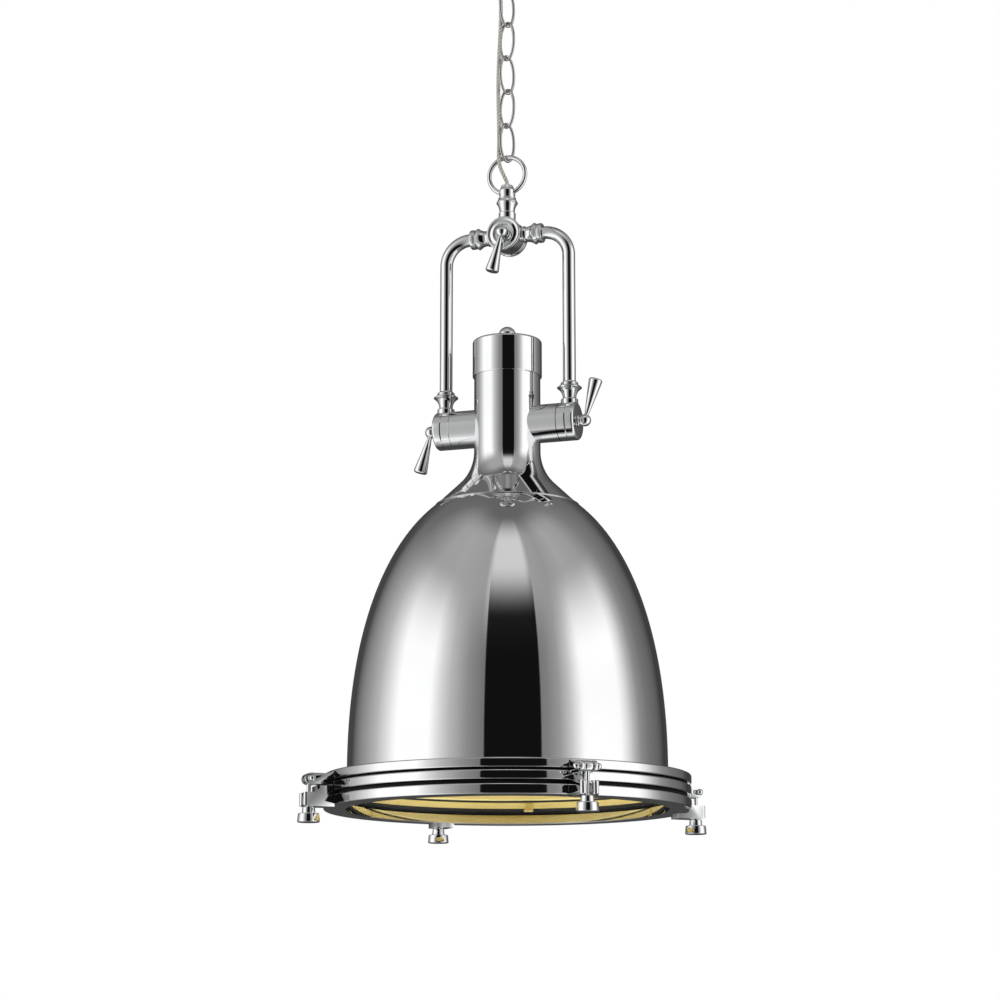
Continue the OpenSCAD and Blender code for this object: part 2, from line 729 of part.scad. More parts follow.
module side_lever(side) {
  screw_l = knuckle_w - 4;
  chrome() translate([side * (knuckle_x + knuckle_w), 0, axle_z]) rotate([0, side * 90, 0])
    rotate([0, 0, 180]) clamp_lever(screw_l, lever_lean);
}

// Neck

function flare_outline(inset) = concat(
  [[neck_r - inset, neck_top_z]],
  [for (i = [0:2 * STEPS]) let (a = flare_angle * i / (2 * STEPS))
    [neck_r + flare_r * (1 - cos(a)) - inset / cos(a), flare_z - flare_r * sin(a)]],
  [[seam_r - seam_step - inset / cos(flare_angle), seam_z]]);

function reversed(list) = [for (i = [len(list) - 1:-1:0]) list[i]];

module neck() {
  chrome() turned(concat(flare_outline(0), reversed(flare_outline(neck_wall))));
}

module neck_cap() {
  r = neck_r + slip_fit + cap_wall;
  chrome() difference() {
    turned(concat([[r, cap_z]], arc_points(r - cap_round, cap_top_z - cap_round, cap_round, 0, 90),
      [[0, cap_top_z], [0, neck_top_z], [r - cap_wall, neck_top_z], [r - cap_wall, cap_z]]));
    translate([0, 0, neck_top_z - 1]) cylinder(r = rod_d / 2 + slip_fit, h = cap_wall + 2);
  }
}

module finial() {
  r = finial_d / 2;
  centre = finial_h - r;
  collar_h = 3;
  chrome() translate([0, 0, cap_top_z]) difference() {
    turned(concat([[0, 0], [r * 0.92, 0], [r * 0.92, collar_h - 1], [r * 0.84, collar_h]],
      arc_points(0, centre, r, -asin((centre - collar_h) / r), 90)));
    translate([0, 0, -1]) cylinder(r = rod_d / 2 + slip_fit, h = r + 1);
  }
}

// Lamp inside

module rod() {
  top = cap_top_z + finial_d / 2 - 1;
  bottom = axle_z - holder_drop - 6;
  steel() difference() {
    translate([0, 0, bottom]) cylinder(d = rod_d, h = top - bottom);
    translate([0, 0, bottom - 1]) cylinder(d = rod_d * 0.7, h = top - bottom + 2);
  }
}

module rod_nut() {
  nut_h = 5;
  steel() translate([0, 0, neck_top_z - nut_h]) difference() {
    cylinder(d = rod_d * 1.8, h = nut_h, $fn = 6);
    translate([0, 0, -1]) cylinder(r = rod_d / 2 + slip_fit, h = nut_h + 2);
  }
}

module holder_cap() {
  r = holder_d / 2;
  top = axle_z - holder_drop;
  low = top - 14;
  color([0.90, 0.89, 0.86]) difference() {
    turned(concat([[0, low], [r, low]], arc_points(r - 6, top - 6, 6, 0, 90), [[0, top]]));
    translate([0, 0, low - 1]) cylinder(r = r - 3, h = 7);
    translate([0, 0, low]) cylinder(r = rod_d / 2 + slip_fit, h = 20);
  }
}

module lampholder() {
  r = holder_d / 2;
  top = axle_z - holder_drop - 14;
  low = axle_z - holder_drop - holder_l;
  color([0.90, 0.89, 0.86]) difference() {
    turned(concat(arc_points(r - 4, low + 2, 2, -90, 0),
      [[r - 2, top - 4], [r, top - 3], [r, top], [0, top], [0, low]]));
    translate([0, 0, low - 1]) cylinder(r = bulb_cap_d / 2 + slip_fit, h = top - low - 3);
  }
}

module bulb_screw_cap() {
  low = axle_z - holder_drop - holder_l;
  high = axle_z - holder_drop - 14 - 5;
  r = bulb_cap_d / 2;
  color([0.75, 0.72, 0.60]) turned([
    [0, low], [r, low], [r, high - 6], [r * 0.55, high - 1.5], [r * 0.35, high], [0, high]
  ]);
}

module bulb_glass() {
  top = axle_z - holder_drop - holder_l;
  r = bulb_d / 2;
  centre = top - bulb_l + r;
  neck = bulb_cap_d / 2;
  bend = 40;
  color([0.95, 0.95, 0.92, 0.6]) turned(concat(
    [[0, top], [neck, top], [neck, top - 6]], arc_points(0, centre, r, bend, -90)));
}

// Shade and rim

dome_rise = dome_h / pow(1 - pow(seam_r / dome_r, dome_power), 1 / dome_power);
dome_end = asin(pow(dome_h / dome_rise, dome_power / 2));

// Bell outline, from its base up; inset measures the sheet square to its surface
function bell_outline(inset) = [for (i = [0:4 * STEPS])
  let (
    a = dome_end * i / (4 * STEPS),
    x = pow(cos(a), 2 / dome_power),
    y = pow(sin(a), 2 / dome_power),
    slope = atan2(pow(y, dome_power - 1) / dome_rise, pow(x, dome_power - 1) / dome_r)
  ) [dome_r * x - inset / cos(slope), dome_z + dome_rise * y]];

module shade_bell() {
  chrome() turned(concat(bell_outline(0), reversed(bell_outline(dome_wall))));
}

module flange_ring() {
  chrome() turned(band(flange_in_r, rim_r, flange_z, dome_z, band_round));
}

module rim_gasket() {
  inner = retainer_r + 2;
  black_rubber() turned([[inner, gasket_z], [groove_r, gasket_z], [groove_r, flange_z], [inner, flange_z]]);
}

module retaining_ring() {
  chrome() turned(band(retainer_r, rim_r, retainer_z, gasket_z, band_round));
}

// Small bent clips that hold the glass down
module lens_clips() {
  wide = 9;
  sheet = 1.2;
  leg_x = retainer_r - slip_fit;
  foot_z = seal_z + seal_h - seal_lip;
  color([0.72, 0.60, 0.32]) at_clamps() rotate([0, 0, clip_turn])
    translate([0, wide / 2, 0]) rotate([90, 0, 0]) linear_extrude(wide) polygon([
      [leg_x - 8, foot_z], [leg_x, foot_z], [leg_x, gasket_z - 2], [leg_x - sheet, gasket_z - 2],
      [leg_x - sheet, foot_z + sheet], [leg_x - 8, foot_z + sheet]
    ]);
}

module lens_seal() {
  top = seal_z + seal_h;
  floor_r = groove_r - seal_lip;
  black_rubber() turned([
    [retainer_r, seal_z], [groove_r, seal_z], [groove_r, top], [retainer_r, top], [retainer_r, top - seal_lip],
    [floor_r, top - seal_lip], [floor_r, seal_z + seal_lip], [retainer_r, seal_z + seal_lip]
  ]);
}

module lens() {
  color([0.9, 0.95, 0.95, 0.3]) translate([0, 0, seal_z + seal_lip])
    cylinder(r = lens_r, h = seal_h - 2 * seal_lip);
}

module bezel_ring() {
  chrome() difference() {
    turned(band(lip_r, rim_r, lip_z, lip_z + bezel_h, band_round));
    translate([0, 0, seal_z]) cylinder(r = groove_r + slip_fit, h = bezel_h);
  }
}

// Swing clamps

ear_gap = eye_t + 0.6;
pin_grip = ear_gap + 2 * ear_t + 2 * slip_fit;

// Two ears on the flange, with a hole for the hinge pin
module hinge_lugs() {
  r = eye_d / 2;
  root = rim_r - band_round;
  clear_r = rim_r + 0.6;
  chrome() at_clamps() difference() {
    for (s = [-1, 1]) translate([0, s * (ear_gap + ear_t) / 2 + ear_t / 2, 0]) rotate([90, 0, 0]) union() {
      translate([clamp_r, pin_z, 0]) cylinder(r = r, h = ear_t);
      linear_extrude(ear_t) polygon([
        [root, flange_z + band_round], [clear_r, flange_z], [clear_r, pin_z - r], [clamp_r, pin_z - r],
        [clamp_r, pin_z + r], [clear_r + 4, pin_z + r], [clear_r, dome_z - band_round],
        [root, dome_z - band_round]
      ]);
    }
    translate([0, 0, gasket_z - 2 * flange_h]) cylinder(r = rim_r, h = 6 * flange_h);
    translate([clamp_r, pin_grip, pin_z]) rotate([90, 0, 0])
      cylinder(r = pin_d / 2 + run_fit, h = 2 * pin_grip);
  }
}

// Hinge pins with a round head on each end
module hinge_pins() {
  r = pin_d / 2;
  head = pin_head_d / 2;
  half = pin_grip / 2;
  meet = acos(r / head);
  centre = half + head * sin(meet);
  steel() at_clamps() translate([clamp_r, 0, pin_z]) rotate([90, 0, 0])
    turned(concat(arc_points(0, -centre, head, -90, meet), arc_points(0, centre, head, -meet, 90)));
}

// Slotted lug under each bolt: its floor curves round the hinge pin so that the nut swings clear
module fork_lugs() {
  prong_r = (fork_w - slot_w) / 4;
  step_r = clamp_r - eye_d / 2 - 0.5;
  outer = clamp_r + fork_reach;
  high = pin_z - eye_d / 2 - 1.5;
  prong_z = pin_z - eye_d - 2.5;
  low = nut_z + hang_gap;
  root = rim_r - band_round;
  round = 2;
  chrome() at_clamps() difference() {
    intersection() {
      translate([0, fork_w / 2, 0]) rotate([90, 0, 0]) linear_extrude(fork_w) polygon(concat(
        [[root, low - 1], [outer, low - 1]], arc_points(outer - round, prong_z - round, round, 0, 90),
        [[step_r, prong_z], [step_r, high], [root, high]]));
      translate([clamp_r, fork_w, pin_z]) rotate([90, 0, 0]) union() {
        cylinder(r = nut_drop - hang_gap, h = 2 * fork_w);
        translate([-clamp_r, -(nut_drop - hang_gap), 0]) cube([clamp_r, 2 * nut_drop, 2 * fork_w]);
      }
      translate([0, 0, low - 2]) linear_extrude(2 * nut_drop) union() {
        translate([root, -fork_w / 2]) square([outer - prong_r - root, fork_w]);
        for (s = [-1, 1]) translate([outer - prong_r, s * (fork_w / 2 - prong_r)]) circle(r = prong_r);
      }
    }
    translate([0, 0, lip_z - nut_drop]) cylinder(r = rim_r, h = 3 * nut_drop);
    translate([clamp_r, 0, low - 2]) cylinder(d = slot_w, h = 2 * nut_drop);
    translate([clamp_r, -slot_w / 2, low - 2]) cube([2 * fork_reach, slot_w, 2 * nut_drop]);
  }
}

module swing_bolt(i) {
  eye_r = eye_d / 2;
  shank_end = nut_z - nut_neck_h - nut_flange_h + 4;
  steel() at_clamp(i) difference() {
    union() {
      translate([clamp_r, eye_t / 2, pin_z]) rotate([90, 0, 0]) cylinder(r = eye_r, h = eye_t);
      translate([clamp_r, 0, shank_end]) cylinder(d = bolt_d, h = pin_z - shank_end);
    }
    translate([clamp_r, eye_t, pin_z]) rotate([90, 0, 0]) cylinder(r = pin_d / 2 + run_fit, h = 2 * eye_t);
  }
}

module thumb_nut(i) {
  neck = nut_neck_d / 2;
  flange = nut_flange_d / 2;
  height = nut_neck_h + nut_flange_h;
  chrome() at_clamp(i) translate([clamp_r, 0, nut_z - height]) difference() {
    turned(concat([[0, 0]], arc_points(flange - 1, 1, 1, -90, 0),
      arc_points(flange - 1.6, nut_flange_h - 1, 1, 10, 90),
      [[neck, nut_flange_h + 0.4], [neck - 0.4, height - 0.6], [neck - 1, height], [0, height]]));
    translate([0, 0, 3]) cylinder(r = bolt_d / 2 + run_fit, h = height);
  }
}

mounting_bar();
canopy();
hanger_nipple();
nipple_nuts();
ceiling_loop();
cable_gland();
terminal_block();
power_cable();
for (k = [1:LINKS]) chain_link(k);
hanging_ring();
hub_stem();
cable_bush();
hub_body();
hub_front_face();
hub_rear_face();
socket(-1);  // socket_left
socket(1);  // socket_right
arm(-1);  // arm_left
arm(1);  // arm_right
ferrule(-1);  // ferrule_left
ferrule(1);  // ferrule_right
knuckle(-1);  // knuckle_left
knuckle(1);  // knuckle_right
hub_lever();
side_lever(-1);  // left_lever
side_lever(1);  // right_lever
neck();
trunnion_bosses();
neck_cap();
finial();
rod();
rod_nut();
holder_cap();
lampholder();
bulb_screw_cap();
bulb_glass();
shade_bell();
flange_ring();
hinge_lugs();
hinge_pins();
rim_gasket();
retaining_ring();
lens_clips();
lens_seal();
lens();
bezel_ring();
fork_lugs();
for (i = [1:CLAMPS]) swing_bolt(i - 1);
for (i = [1:CLAMPS]) thumb_nut(i - 1);
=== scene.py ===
# %% [markdown]
# # A chrome pendant light
# The imported model is the frame: every piece made here sits in its coordinates, in metres, and rides on one of
# its bodies. The frame's box is kept. The packed record says which body and which material slot each solid has,
# and a piece that stands for a solid takes its body.

# %% Load the frame
import bpy, bmesh, json
from math import acos, asin, atan2, cos, degrees, pi, radians, sin
from mathutils import Matrix, Vector


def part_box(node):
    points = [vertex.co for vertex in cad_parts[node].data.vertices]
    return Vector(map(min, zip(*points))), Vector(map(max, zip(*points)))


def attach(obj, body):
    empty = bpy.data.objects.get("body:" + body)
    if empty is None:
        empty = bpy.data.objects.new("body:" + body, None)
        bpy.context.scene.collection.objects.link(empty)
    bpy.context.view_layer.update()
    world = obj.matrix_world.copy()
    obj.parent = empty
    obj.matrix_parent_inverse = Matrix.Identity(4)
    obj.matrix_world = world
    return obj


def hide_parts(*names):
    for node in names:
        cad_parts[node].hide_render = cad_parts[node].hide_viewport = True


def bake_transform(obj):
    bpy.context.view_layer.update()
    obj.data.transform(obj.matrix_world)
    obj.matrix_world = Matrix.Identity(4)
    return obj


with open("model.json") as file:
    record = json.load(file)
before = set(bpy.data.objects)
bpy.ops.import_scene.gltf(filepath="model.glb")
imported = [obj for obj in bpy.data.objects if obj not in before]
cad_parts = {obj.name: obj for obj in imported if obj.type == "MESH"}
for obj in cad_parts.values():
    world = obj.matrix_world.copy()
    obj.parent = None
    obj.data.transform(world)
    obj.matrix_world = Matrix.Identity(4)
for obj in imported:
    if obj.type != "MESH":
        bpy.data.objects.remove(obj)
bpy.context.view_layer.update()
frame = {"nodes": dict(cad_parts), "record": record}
MM = 0.001
BODY_OF = {node: body for body, nodes in frame["record"]["behaviour"]["bodies"].items() for node in nodes}


def show(name, data):
    """Puts a new object into the scene."""
    thing = bpy.data.objects.new(name, data)
    bpy.context.collection.objects.link(thing)
    return thing


def stand_for(piece, node):
    """The piece takes the solid's place: its body and its spot in the picture."""
    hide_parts(node)
    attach(piece, BODY_OF[node])
    return piece


def span(node, axis="z"):
    """Lowest and highest millimetre of a solid along one axis."""
    return tuple(getattr(corner, axis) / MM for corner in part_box(node))


# %% [markdown]
# The lamp was photographed from a little below its rim with a long lens, so the camera stands low, looks up and
# is turned a touch to the left. Its place is measured from the lamp's axis and from the lip of the rim.

# %% Camera
LIP_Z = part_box("bezel_ring")[0].z
CAMERA_AZIMUTH = radians(19)
CAMERA_DISTANCE = 2.543
CAMERA_BELOW_LIP = 0.2225
CAMERA_PITCH = radians(11.843)
CAMERA_YAW = radians(0.166)
FOCAL_PIXELS = 2591
IMAGE_PIXELS = 1000
SENSOR_MM = 36


def make_camera():
    data = bpy.data.cameras.new("photo_camera")
    data.sensor_width = SENSOR_MM
    data.lens = FOCAL_PIXELS / IMAGE_PIXELS * SENSOR_MM
    camera = show("photo_camera", data)
    camera.location = (
        CAMERA_DISTANCE * sin(CAMERA_AZIMUTH),
        -CAMERA_DISTANCE * cos(CAMERA_AZIMUTH),
        LIP_Z - CAMERA_BELOW_LIP,
    )
    camera.rotation_euler = (pi / 2 + CAMERA_PITCH, 0, CAMERA_AZIMUTH + CAMERA_YAW)
    bpy.context.scene.camera = camera
    return camera


print("camera lens:", round(make_camera().data.lens, 1), "mm")

# %% [markdown]
# Finishes come next. Each is a node tree on Object coordinates: a base colour that drifts a little over the
# surface, a roughness that follows fine smudges, and a bump too small to see except in a reflection. One helper
# adds a node of any kind: it sets or links the inputs and gives back one output.


# %% Helpers for node trees
def feed(tree, socket, value):
    """Links an output to the socket, or sets a plain value on it."""
    if isinstance(value, bpy.types.NodeSocket):
        tree.links.new(value, socket)
    else:
        socket.default_value = value


def add_node(tree, kind, inputs=(), out=0, **settings):
    """Settings are the node's own properties. Inputs go by name or by number."""
    node = tree.nodes.new(kind)
    for key, value in settings.items():
        setattr(node, key, value)
    for key, value in dict(inputs).items():
        feed(tree, node.inputs[key], value)
    return node.outputs[out]


def add_math(tree, operation, *values):
    return add_node(tree, "ShaderNodeMath", enumerate(values), operation=operation)


def add_split(tree, vector):
    node = tree.nodes.new("ShaderNodeSeparateXYZ")
    feed(tree, node.inputs[0], vector)
    return node.outputs


# %% Helpers for finishes
DARK_AT, LIGHT_AT = 0.3, 0.7


def new_finish(name, constants=()):
    """Constants are inputs of the shader that are the same all over the surface."""
    material = bpy.data.materials.new(name)
    material.use_nodes = True
    surface = material.node_tree.nodes["Principled BSDF"].inputs
    for key, value in dict(constants).items():
        surface[key].default_value = value
    return material, material.node_tree, surface


def add_noise(tree, scale, detail=4, stretch=(1, 1, 1)):
    where = add_node(tree, "ShaderNodeTexCoord", out="Object")
    place = add_node(tree, "ShaderNodeMapping", {"Vector": where, "Scale": stretch})
    return add_node(tree, "ShaderNodeTexNoise", {"Vector": place, "Scale": scale, "Detail": detail}, "Fac")


def add_ramp(tree, factor, stops):
    ramp = tree.nodes.new("ShaderNodeValToRGB")
    points = ramp.color_ramp.elements
    while len(points) < len(stops):
        points.new(0.5)
    for point, (place, colour) in zip(points, stops):
        point.position = place
        point.color = (*colour, 1)
    feed(tree, ramp.inputs["Fac"], factor)
    return ramp.outputs["Color"]


def add_range(tree, factor, low, high):
    return add_node(tree, "ShaderNodeMapRange", {"Value": factor, "To Min": low, "To Max": high}, "Result")


def add_bump(tree, height, strength, depth):
    return add_node(tree, "ShaderNodeBump", {"Height": height, "Strength": strength, "Distance": depth}, "Normal")


def lay_on(tree, surface, drift, dark, light, smudge, smooth, rough):
    """Colour follows one noise from dark to light, and roughness another from smooth to rough."""
    feed(tree, surface["Base Color"], add_ramp(tree, drift, [(DARK_AT, dark), (LIGHT_AT, light)]))
    feed(tree, surface["Roughness"], add_range(tree, smudge, smooth, rough))


# %% [markdown]
# Nearly everything on this lamp is plated. One function makes every metal: bright chrome outside, grey nickel on
# the chain, dull zinc on the hidden hardware, brass on the bulb's cap. They differ in colour, roughness and grain.

# %% Metals
METAL_DRIFT, METAL_SMUDGE, METAL_GRAIN = 9, 60, 900
METAL_BUMP, METAL_DEPTH = 0.02, 0.00005


def make_metal(name, dark, light, smooth, rough, stretch=(1, 1, 1)):
    material, tree, surface = new_finish(name, {"Metallic": 1})
    drift = add_noise(tree, METAL_DRIFT, stretch=stretch)
    smudge = add_noise(tree, METAL_SMUDGE, stretch=stretch)
    fine = add_noise(tree, METAL_GRAIN, detail=2, stretch=stretch)
    lay_on(tree, surface, drift, dark, light, smudge, smooth, rough)
    feed(tree, surface["Normal"], add_bump(tree, fine, METAL_BUMP, METAL_DEPTH))
    return material


CHROME = make_metal("bright_chrome", (0.72, 0.725, 0.73), (0.78, 0.785, 0.79), 0.015, 0.035)
CHROME_SPUN = make_metal("spun_chrome", (0.72, 0.722, 0.73), (0.77, 0.772, 0.78), 0.02, 0.045)
NICKEL = make_metal("grey_nickel", (0.46, 0.45, 0.43), (0.58, 0.57, 0.55), 0.06, 0.14)
ZINC = make_metal("dull_zinc", (0.42, 0.43, 0.44), (0.55, 0.56, 0.57), 0.28, 0.42, stretch=(1, 1, 0.1))
BRASS = make_metal("bright_brass", (0.62, 0.46, 0.20), (0.74, 0.58, 0.28), 0.16, 0.3)
print("metals:", *(m.name for m in (CHROME, CHROME_SPUN, NICKEL, ZINC, BRASS)))

# %% [markdown]
# The rest is rubber, glazed porcelain, plastic, glass and the satin gold lacquer that lines the shade. The lacquer
# scatters more light than plated gold would, so it stays warm and pale where the shade is lit from below. The pane
# is looked at almost along its surface, where thick glass would be a mirror, so it is made as thin clear glass:
# mostly open, with a weak reflection on top.

# %% Rubber, porcelain, plastic and glass
DULL_FINER, DULL_DEPTH = 30, 0.0001
GLASS_DRIFT, GLASS_SMUDGE = 6, 35


def make_dull(name, dark, light, smooth, rough, scale=40, bump=0.15, constants=()):
    material, tree, surface = new_finish(name, constants)
    drift = add_noise(tree, scale)
    fine = add_noise(tree, scale * DULL_FINER, detail=2)
    lay_on(tree, surface, drift, dark, light, fine, smooth, rough)
    feed(tree, surface["Normal"], add_bump(tree, fine, bump, DULL_DEPTH))
    return material


def make_glass(name, dark, light, smooth, rough):
    material, tree, surface = new_finish(name, {"Transmission Weight": 1, "IOR": 1.5})
    drift, smudge = add_noise(tree, GLASS_DRIFT), add_noise(tree, GLASS_SMUDGE)
    lay_on(tree, surface, drift, dark, light, smudge, smooth, rough)
    return material


# Black seal rubber. It also makes the band of painted shade at the foot of the retaining ring.
RUBBER_AND_SHADE = make_dull("seal_rubber", (0.006, 0.006, 0.006), (0.012, 0.012, 0.012), 0.5, 0.7,
                   constants={"Specular IOR Level": 0.1})
PORCELAIN = make_dull("glazed_porcelain", (0.78, 0.77, 0.73), (0.86, 0.85, 0.82), 0.15, 0.3,
                      constants={"Coat Weight": 0.4})
PLASTIC = make_dull("pale_plastic", (0.60, 0.60, 0.58), (0.70, 0.70, 0.67), 0.35, 0.5)
GOLD = make_dull("gold_lacquer", (0.77, 0.65, 0.26), (0.85, 0.74, 0.33), 0.3, 0.42, scale=14, bump=0.05,
                 constants={"Metallic": 0.35, "Coat Weight": 0.15})
PANE = make_dull("clear_pane", (0.82, 0.86, 0.86), (0.90, 0.93, 0.93), 0.01, 0.03, scale=6, bump=0.0,
                 constants={"Alpha": 0.015})
FROST = make_glass("frosted_bulb", (0.90, 0.89, 0.85), (0.95, 0.94, 0.91), 0.35, 0.5)
print("other finishes:", *(m.name for m in (RUBBER_AND_SHADE, PORCELAIN, PLASTIC, GOLD, PANE, FROST)))

# %% [markdown]
# The supply cable hangs beside the chain. Its route repeats the points of the part's source. It could be one
# tube, but it has to bend wherever the chain bends, so it is cut at the middle of every link.

# %% Route of the cable
CABLE_D = 4 * MM
CABLE_SIDES = 16
CHAIN_TURN = radians(64)
CABLE_SIDE = CHAIN_TURN + radians(135)
BUSH_FLOOR = 1.2
CABLE_TOP_Z, CABLE_FOOT_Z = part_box("cable_gland")[0].z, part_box("cable_bush")[0].z + BUSH_FLOOR * MM
CABLE_ROUTE = [
    (20, 0, 0), (20, 0, 0.03), (18.7, 0, 0.068), (14.5, 0, 0.109), (9.9, 0, 0.15), (7.5, 0, 0.196), (6.6, 0, 0.244),
    (6.4, 0, 0.293), (6.7, 0, 0.342), (7.3, 0, 0.391), (7.9, 0, 0.44), (8.5, 0, 0.489), (8.9, 0, 0.538),
    (9.1, 0, 0.587), (9.1, 0.2, 0.636), (8.9, 0.5, 0.684), (8.6, 1, 0.733), (8.4, 1.5, 0.778), (8.35, 2.1, 0.82),
    (8.5, 2.8, 0.857), (8.55, 3.1, 0.895), (7.5, 3.1, 0.925), (4.8, 2.35, 0.951), (2, 1.1, 0.972), (0.4, 0.2, 0.987),
    (0, 0, 1),
]


def route_point(away, drift, share):
    out = Vector((cos(CABLE_SIDE), sin(CABLE_SIDE), 0))
    front = Vector((-sin(CABLE_SIDE), cos(CABLE_SIDE), 0))
    return out * away * MM + front * drift * MM + Vector((0, 0, CABLE_TOP_Z + (CABLE_FOOT_Z - CABLE_TOP_Z) * share))


CABLE_POINTS = [route_point(*row) for row in CABLE_ROUTE]


def smooth_between(points, i, t):
    before, here, there, after = (points[min(max(i + n, 0), len(points) - 1)] for n in (-1, 0, 1, 2))
    return 0.5 * (
        2 * here
        + (there - before) * t
        + (2 * before - 5 * here + 4 * there - after) * t * t
        + (3 * here - before - 3 * there + after) * t * t * t
    )


def path_length(path):
    return sum((b - a).length for a, b in zip(path, path[1:]))


STEPS_PER_SPAN = 6
FINE_ROUTE = [smooth_between(CABLE_POINTS, i, s / STEPS_PER_SPAN)
              for i in range(len(CABLE_POINTS) - 1) for s in range(STEPS_PER_SPAN)] + [CABLE_POINTS[-1]]
print("cable:", len(FINE_ROUTE), "points,", round(path_length(FINE_ROUTE), 3), "m")

# %% [markdown]
# The sheath is clear plastic over two twisted cores, which shows as a slow diagonal stripe. The stripe follows
# the cable's own UV map: one turn round the tube for every few diameters along it.

# %% Cable sheath
STRIPE_SCALE, STRIPE_WOBBLE, STRIPE_TURNS = 0.65, 0.4, 3
STRIPE_STOPS = [(0.2, (0.33, 0.31, 0.27)), (0.8, (0.60, 0.58, 0.53))]


def make_sheath():
    material, tree, surface = new_finish("clear_sheath", {"Coat Weight": 0.5, "Coat Roughness": 0.1})
    where = add_node(tree, "ShaderNodeUVMap", out="UV")
    inputs = {"Vector": where, "Scale": STRIPE_SCALE, "Distortion": STRIPE_WOBBLE}
    stripe = add_node(tree, "ShaderNodeTexWave", inputs, "Fac", bands_direction="DIAGONAL")
    feed(tree, surface["Base Color"], add_ramp(tree, stripe, STRIPE_STOPS))
    feed(tree, surface["Roughness"], add_range(tree, stripe, 0.25, 0.4))
    return material


SHEATH = make_sheath()
print("sheath:", SHEATH.name)


# %% Tube along a path
def finish_piece(name, bm, materials, sharp=radians(32)):
    """Turns a bmesh into a shown object with smooth faces and crisp edges."""
    bm.normal_update()
    for face in bm.faces:
        face.smooth = True
    for edge in bm.edges:
        edge.smooth = len(edge.link_faces) == 2 and edge.calc_face_angle(0) < sharp
    mesh = bpy.data.meshes.new(name)
    bm.to_mesh(mesh)
    bm.free()
    for material in materials:
        mesh.materials.append(material)
    return show(name, mesh)


def tube(name, path, diameter, material, start=0.0, sides=CABLE_SIDES):
    bm = bmesh.new()
    uv = bm.loops.layers.uv.new("along")
    rings, run = [], [start]
    for i, point in enumerate(path):
        heading = (path[min(i + 1, len(path) - 1)] - path[max(i - 1, 0)]).normalized()
        side = heading.cross(Vector((0, 1, 0))).normalized()
        up = side.cross(heading)
        rings.append([
            bm.verts.new(point + diameter / 2 * (side * cos(a) + up * sin(a)))
            for a in (2 * pi * s / sides for s in range(sides))
        ])
        if i:
            run.append(run[-1] + (point - path[i - 1]).length)
    for i in range(len(path) - 1):
        for s in range(sides):
            n = (s + 1) % sides
            face = bm.faces.new((rings[i][s], rings[i][n], rings[i + 1][n], rings[i + 1][s]))
            corners = ((s, i), (s + 1, i), (s + 1, i + 1), (s, i + 1))
            for loop, (a, b) in zip(face.loops, corners):
                loop[uv].uv = (a / sides * STRIPE_TURNS, run[b] / diameter)
    bm.faces.new(rings[0])
    bm.faces.new(list(reversed(rings[-1])))
    bmesh.ops.recalc_face_normals(bm, faces=bm.faces)
    return finish_piece(name, bm, [material])


# %% Cable in lengths
LINK_COUNT = 6
CUT_CLEAR = 1e-4
LINK_MIDDLES = [sum(corner.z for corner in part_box(f"chain_link_{k}")) / 2 for k in range(1, LINK_COUNT + 1)]


def point_at_height(z):
    for a, b in zip(FINE_ROUTE, FINE_ROUTE[1:]):
        if a.z >= z >= b.z:
            return a.lerp(b, (a.z - z) / (a.z - b.z))
    return FINE_ROUTE[-1]


def make_cable():
    cuts = [CABLE_TOP_Z] + LINK_MIDDLES + [CABLE_FOOT_Z]
    run = 0.0
    for i, (high, low) in enumerate(zip(cuts, cuts[1:])):
        middle = [p for p in FINE_ROUTE if high - CUT_CLEAR > p.z > low + CUT_CLEAR]
        path = [point_at_height(high), *middle, point_at_height(low)]
        length = path_length(path)
        piece = tube(f"supply_cable_{i + 1}", path, CABLE_D, SHEATH, run)
        run += length
        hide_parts("power_cable")
        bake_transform(piece)
    return run


print("cable hangs", round(make_cable(), 3), "m")

# %% [markdown]
# A chain repeats one shape, so a node group makes it: a circle is pressed into a long oval, given the wire's
# thickness, turned a quarter from its neighbour and hung at its height. Each link is a body of its own, so the
# group runs once for every link, and the result becomes a plain mesh.

# %% Node group for a link
OVAL_POINTS, LINK_POINTS, WIRE_POINTS = 72, 96, 20


def new_group(name):
    group = bpy.data.node_groups.new(name, "GeometryNodeTree")
    group.interface.new_socket(name="Geometry", in_out="OUTPUT", socket_type="NodeSocketGeometry")
    return group


def group_input(group, name, kind="Float"):
    group.interface.new_socket(name=name, in_out="INPUT", socket_type="NodeSocket" + kind)


def give(group, geometry, material):
    """Ends a group: copies become real, and the material is set."""
    real = add_node(group, "GeometryNodeRealizeInstances", {"Geometry": geometry})
    painted = add_node(group, "GeometryNodeSetMaterial", {"Geometry": real, "Material": material})
    feed(group, group.nodes.new("NodeGroupOutput").inputs[0], painted)


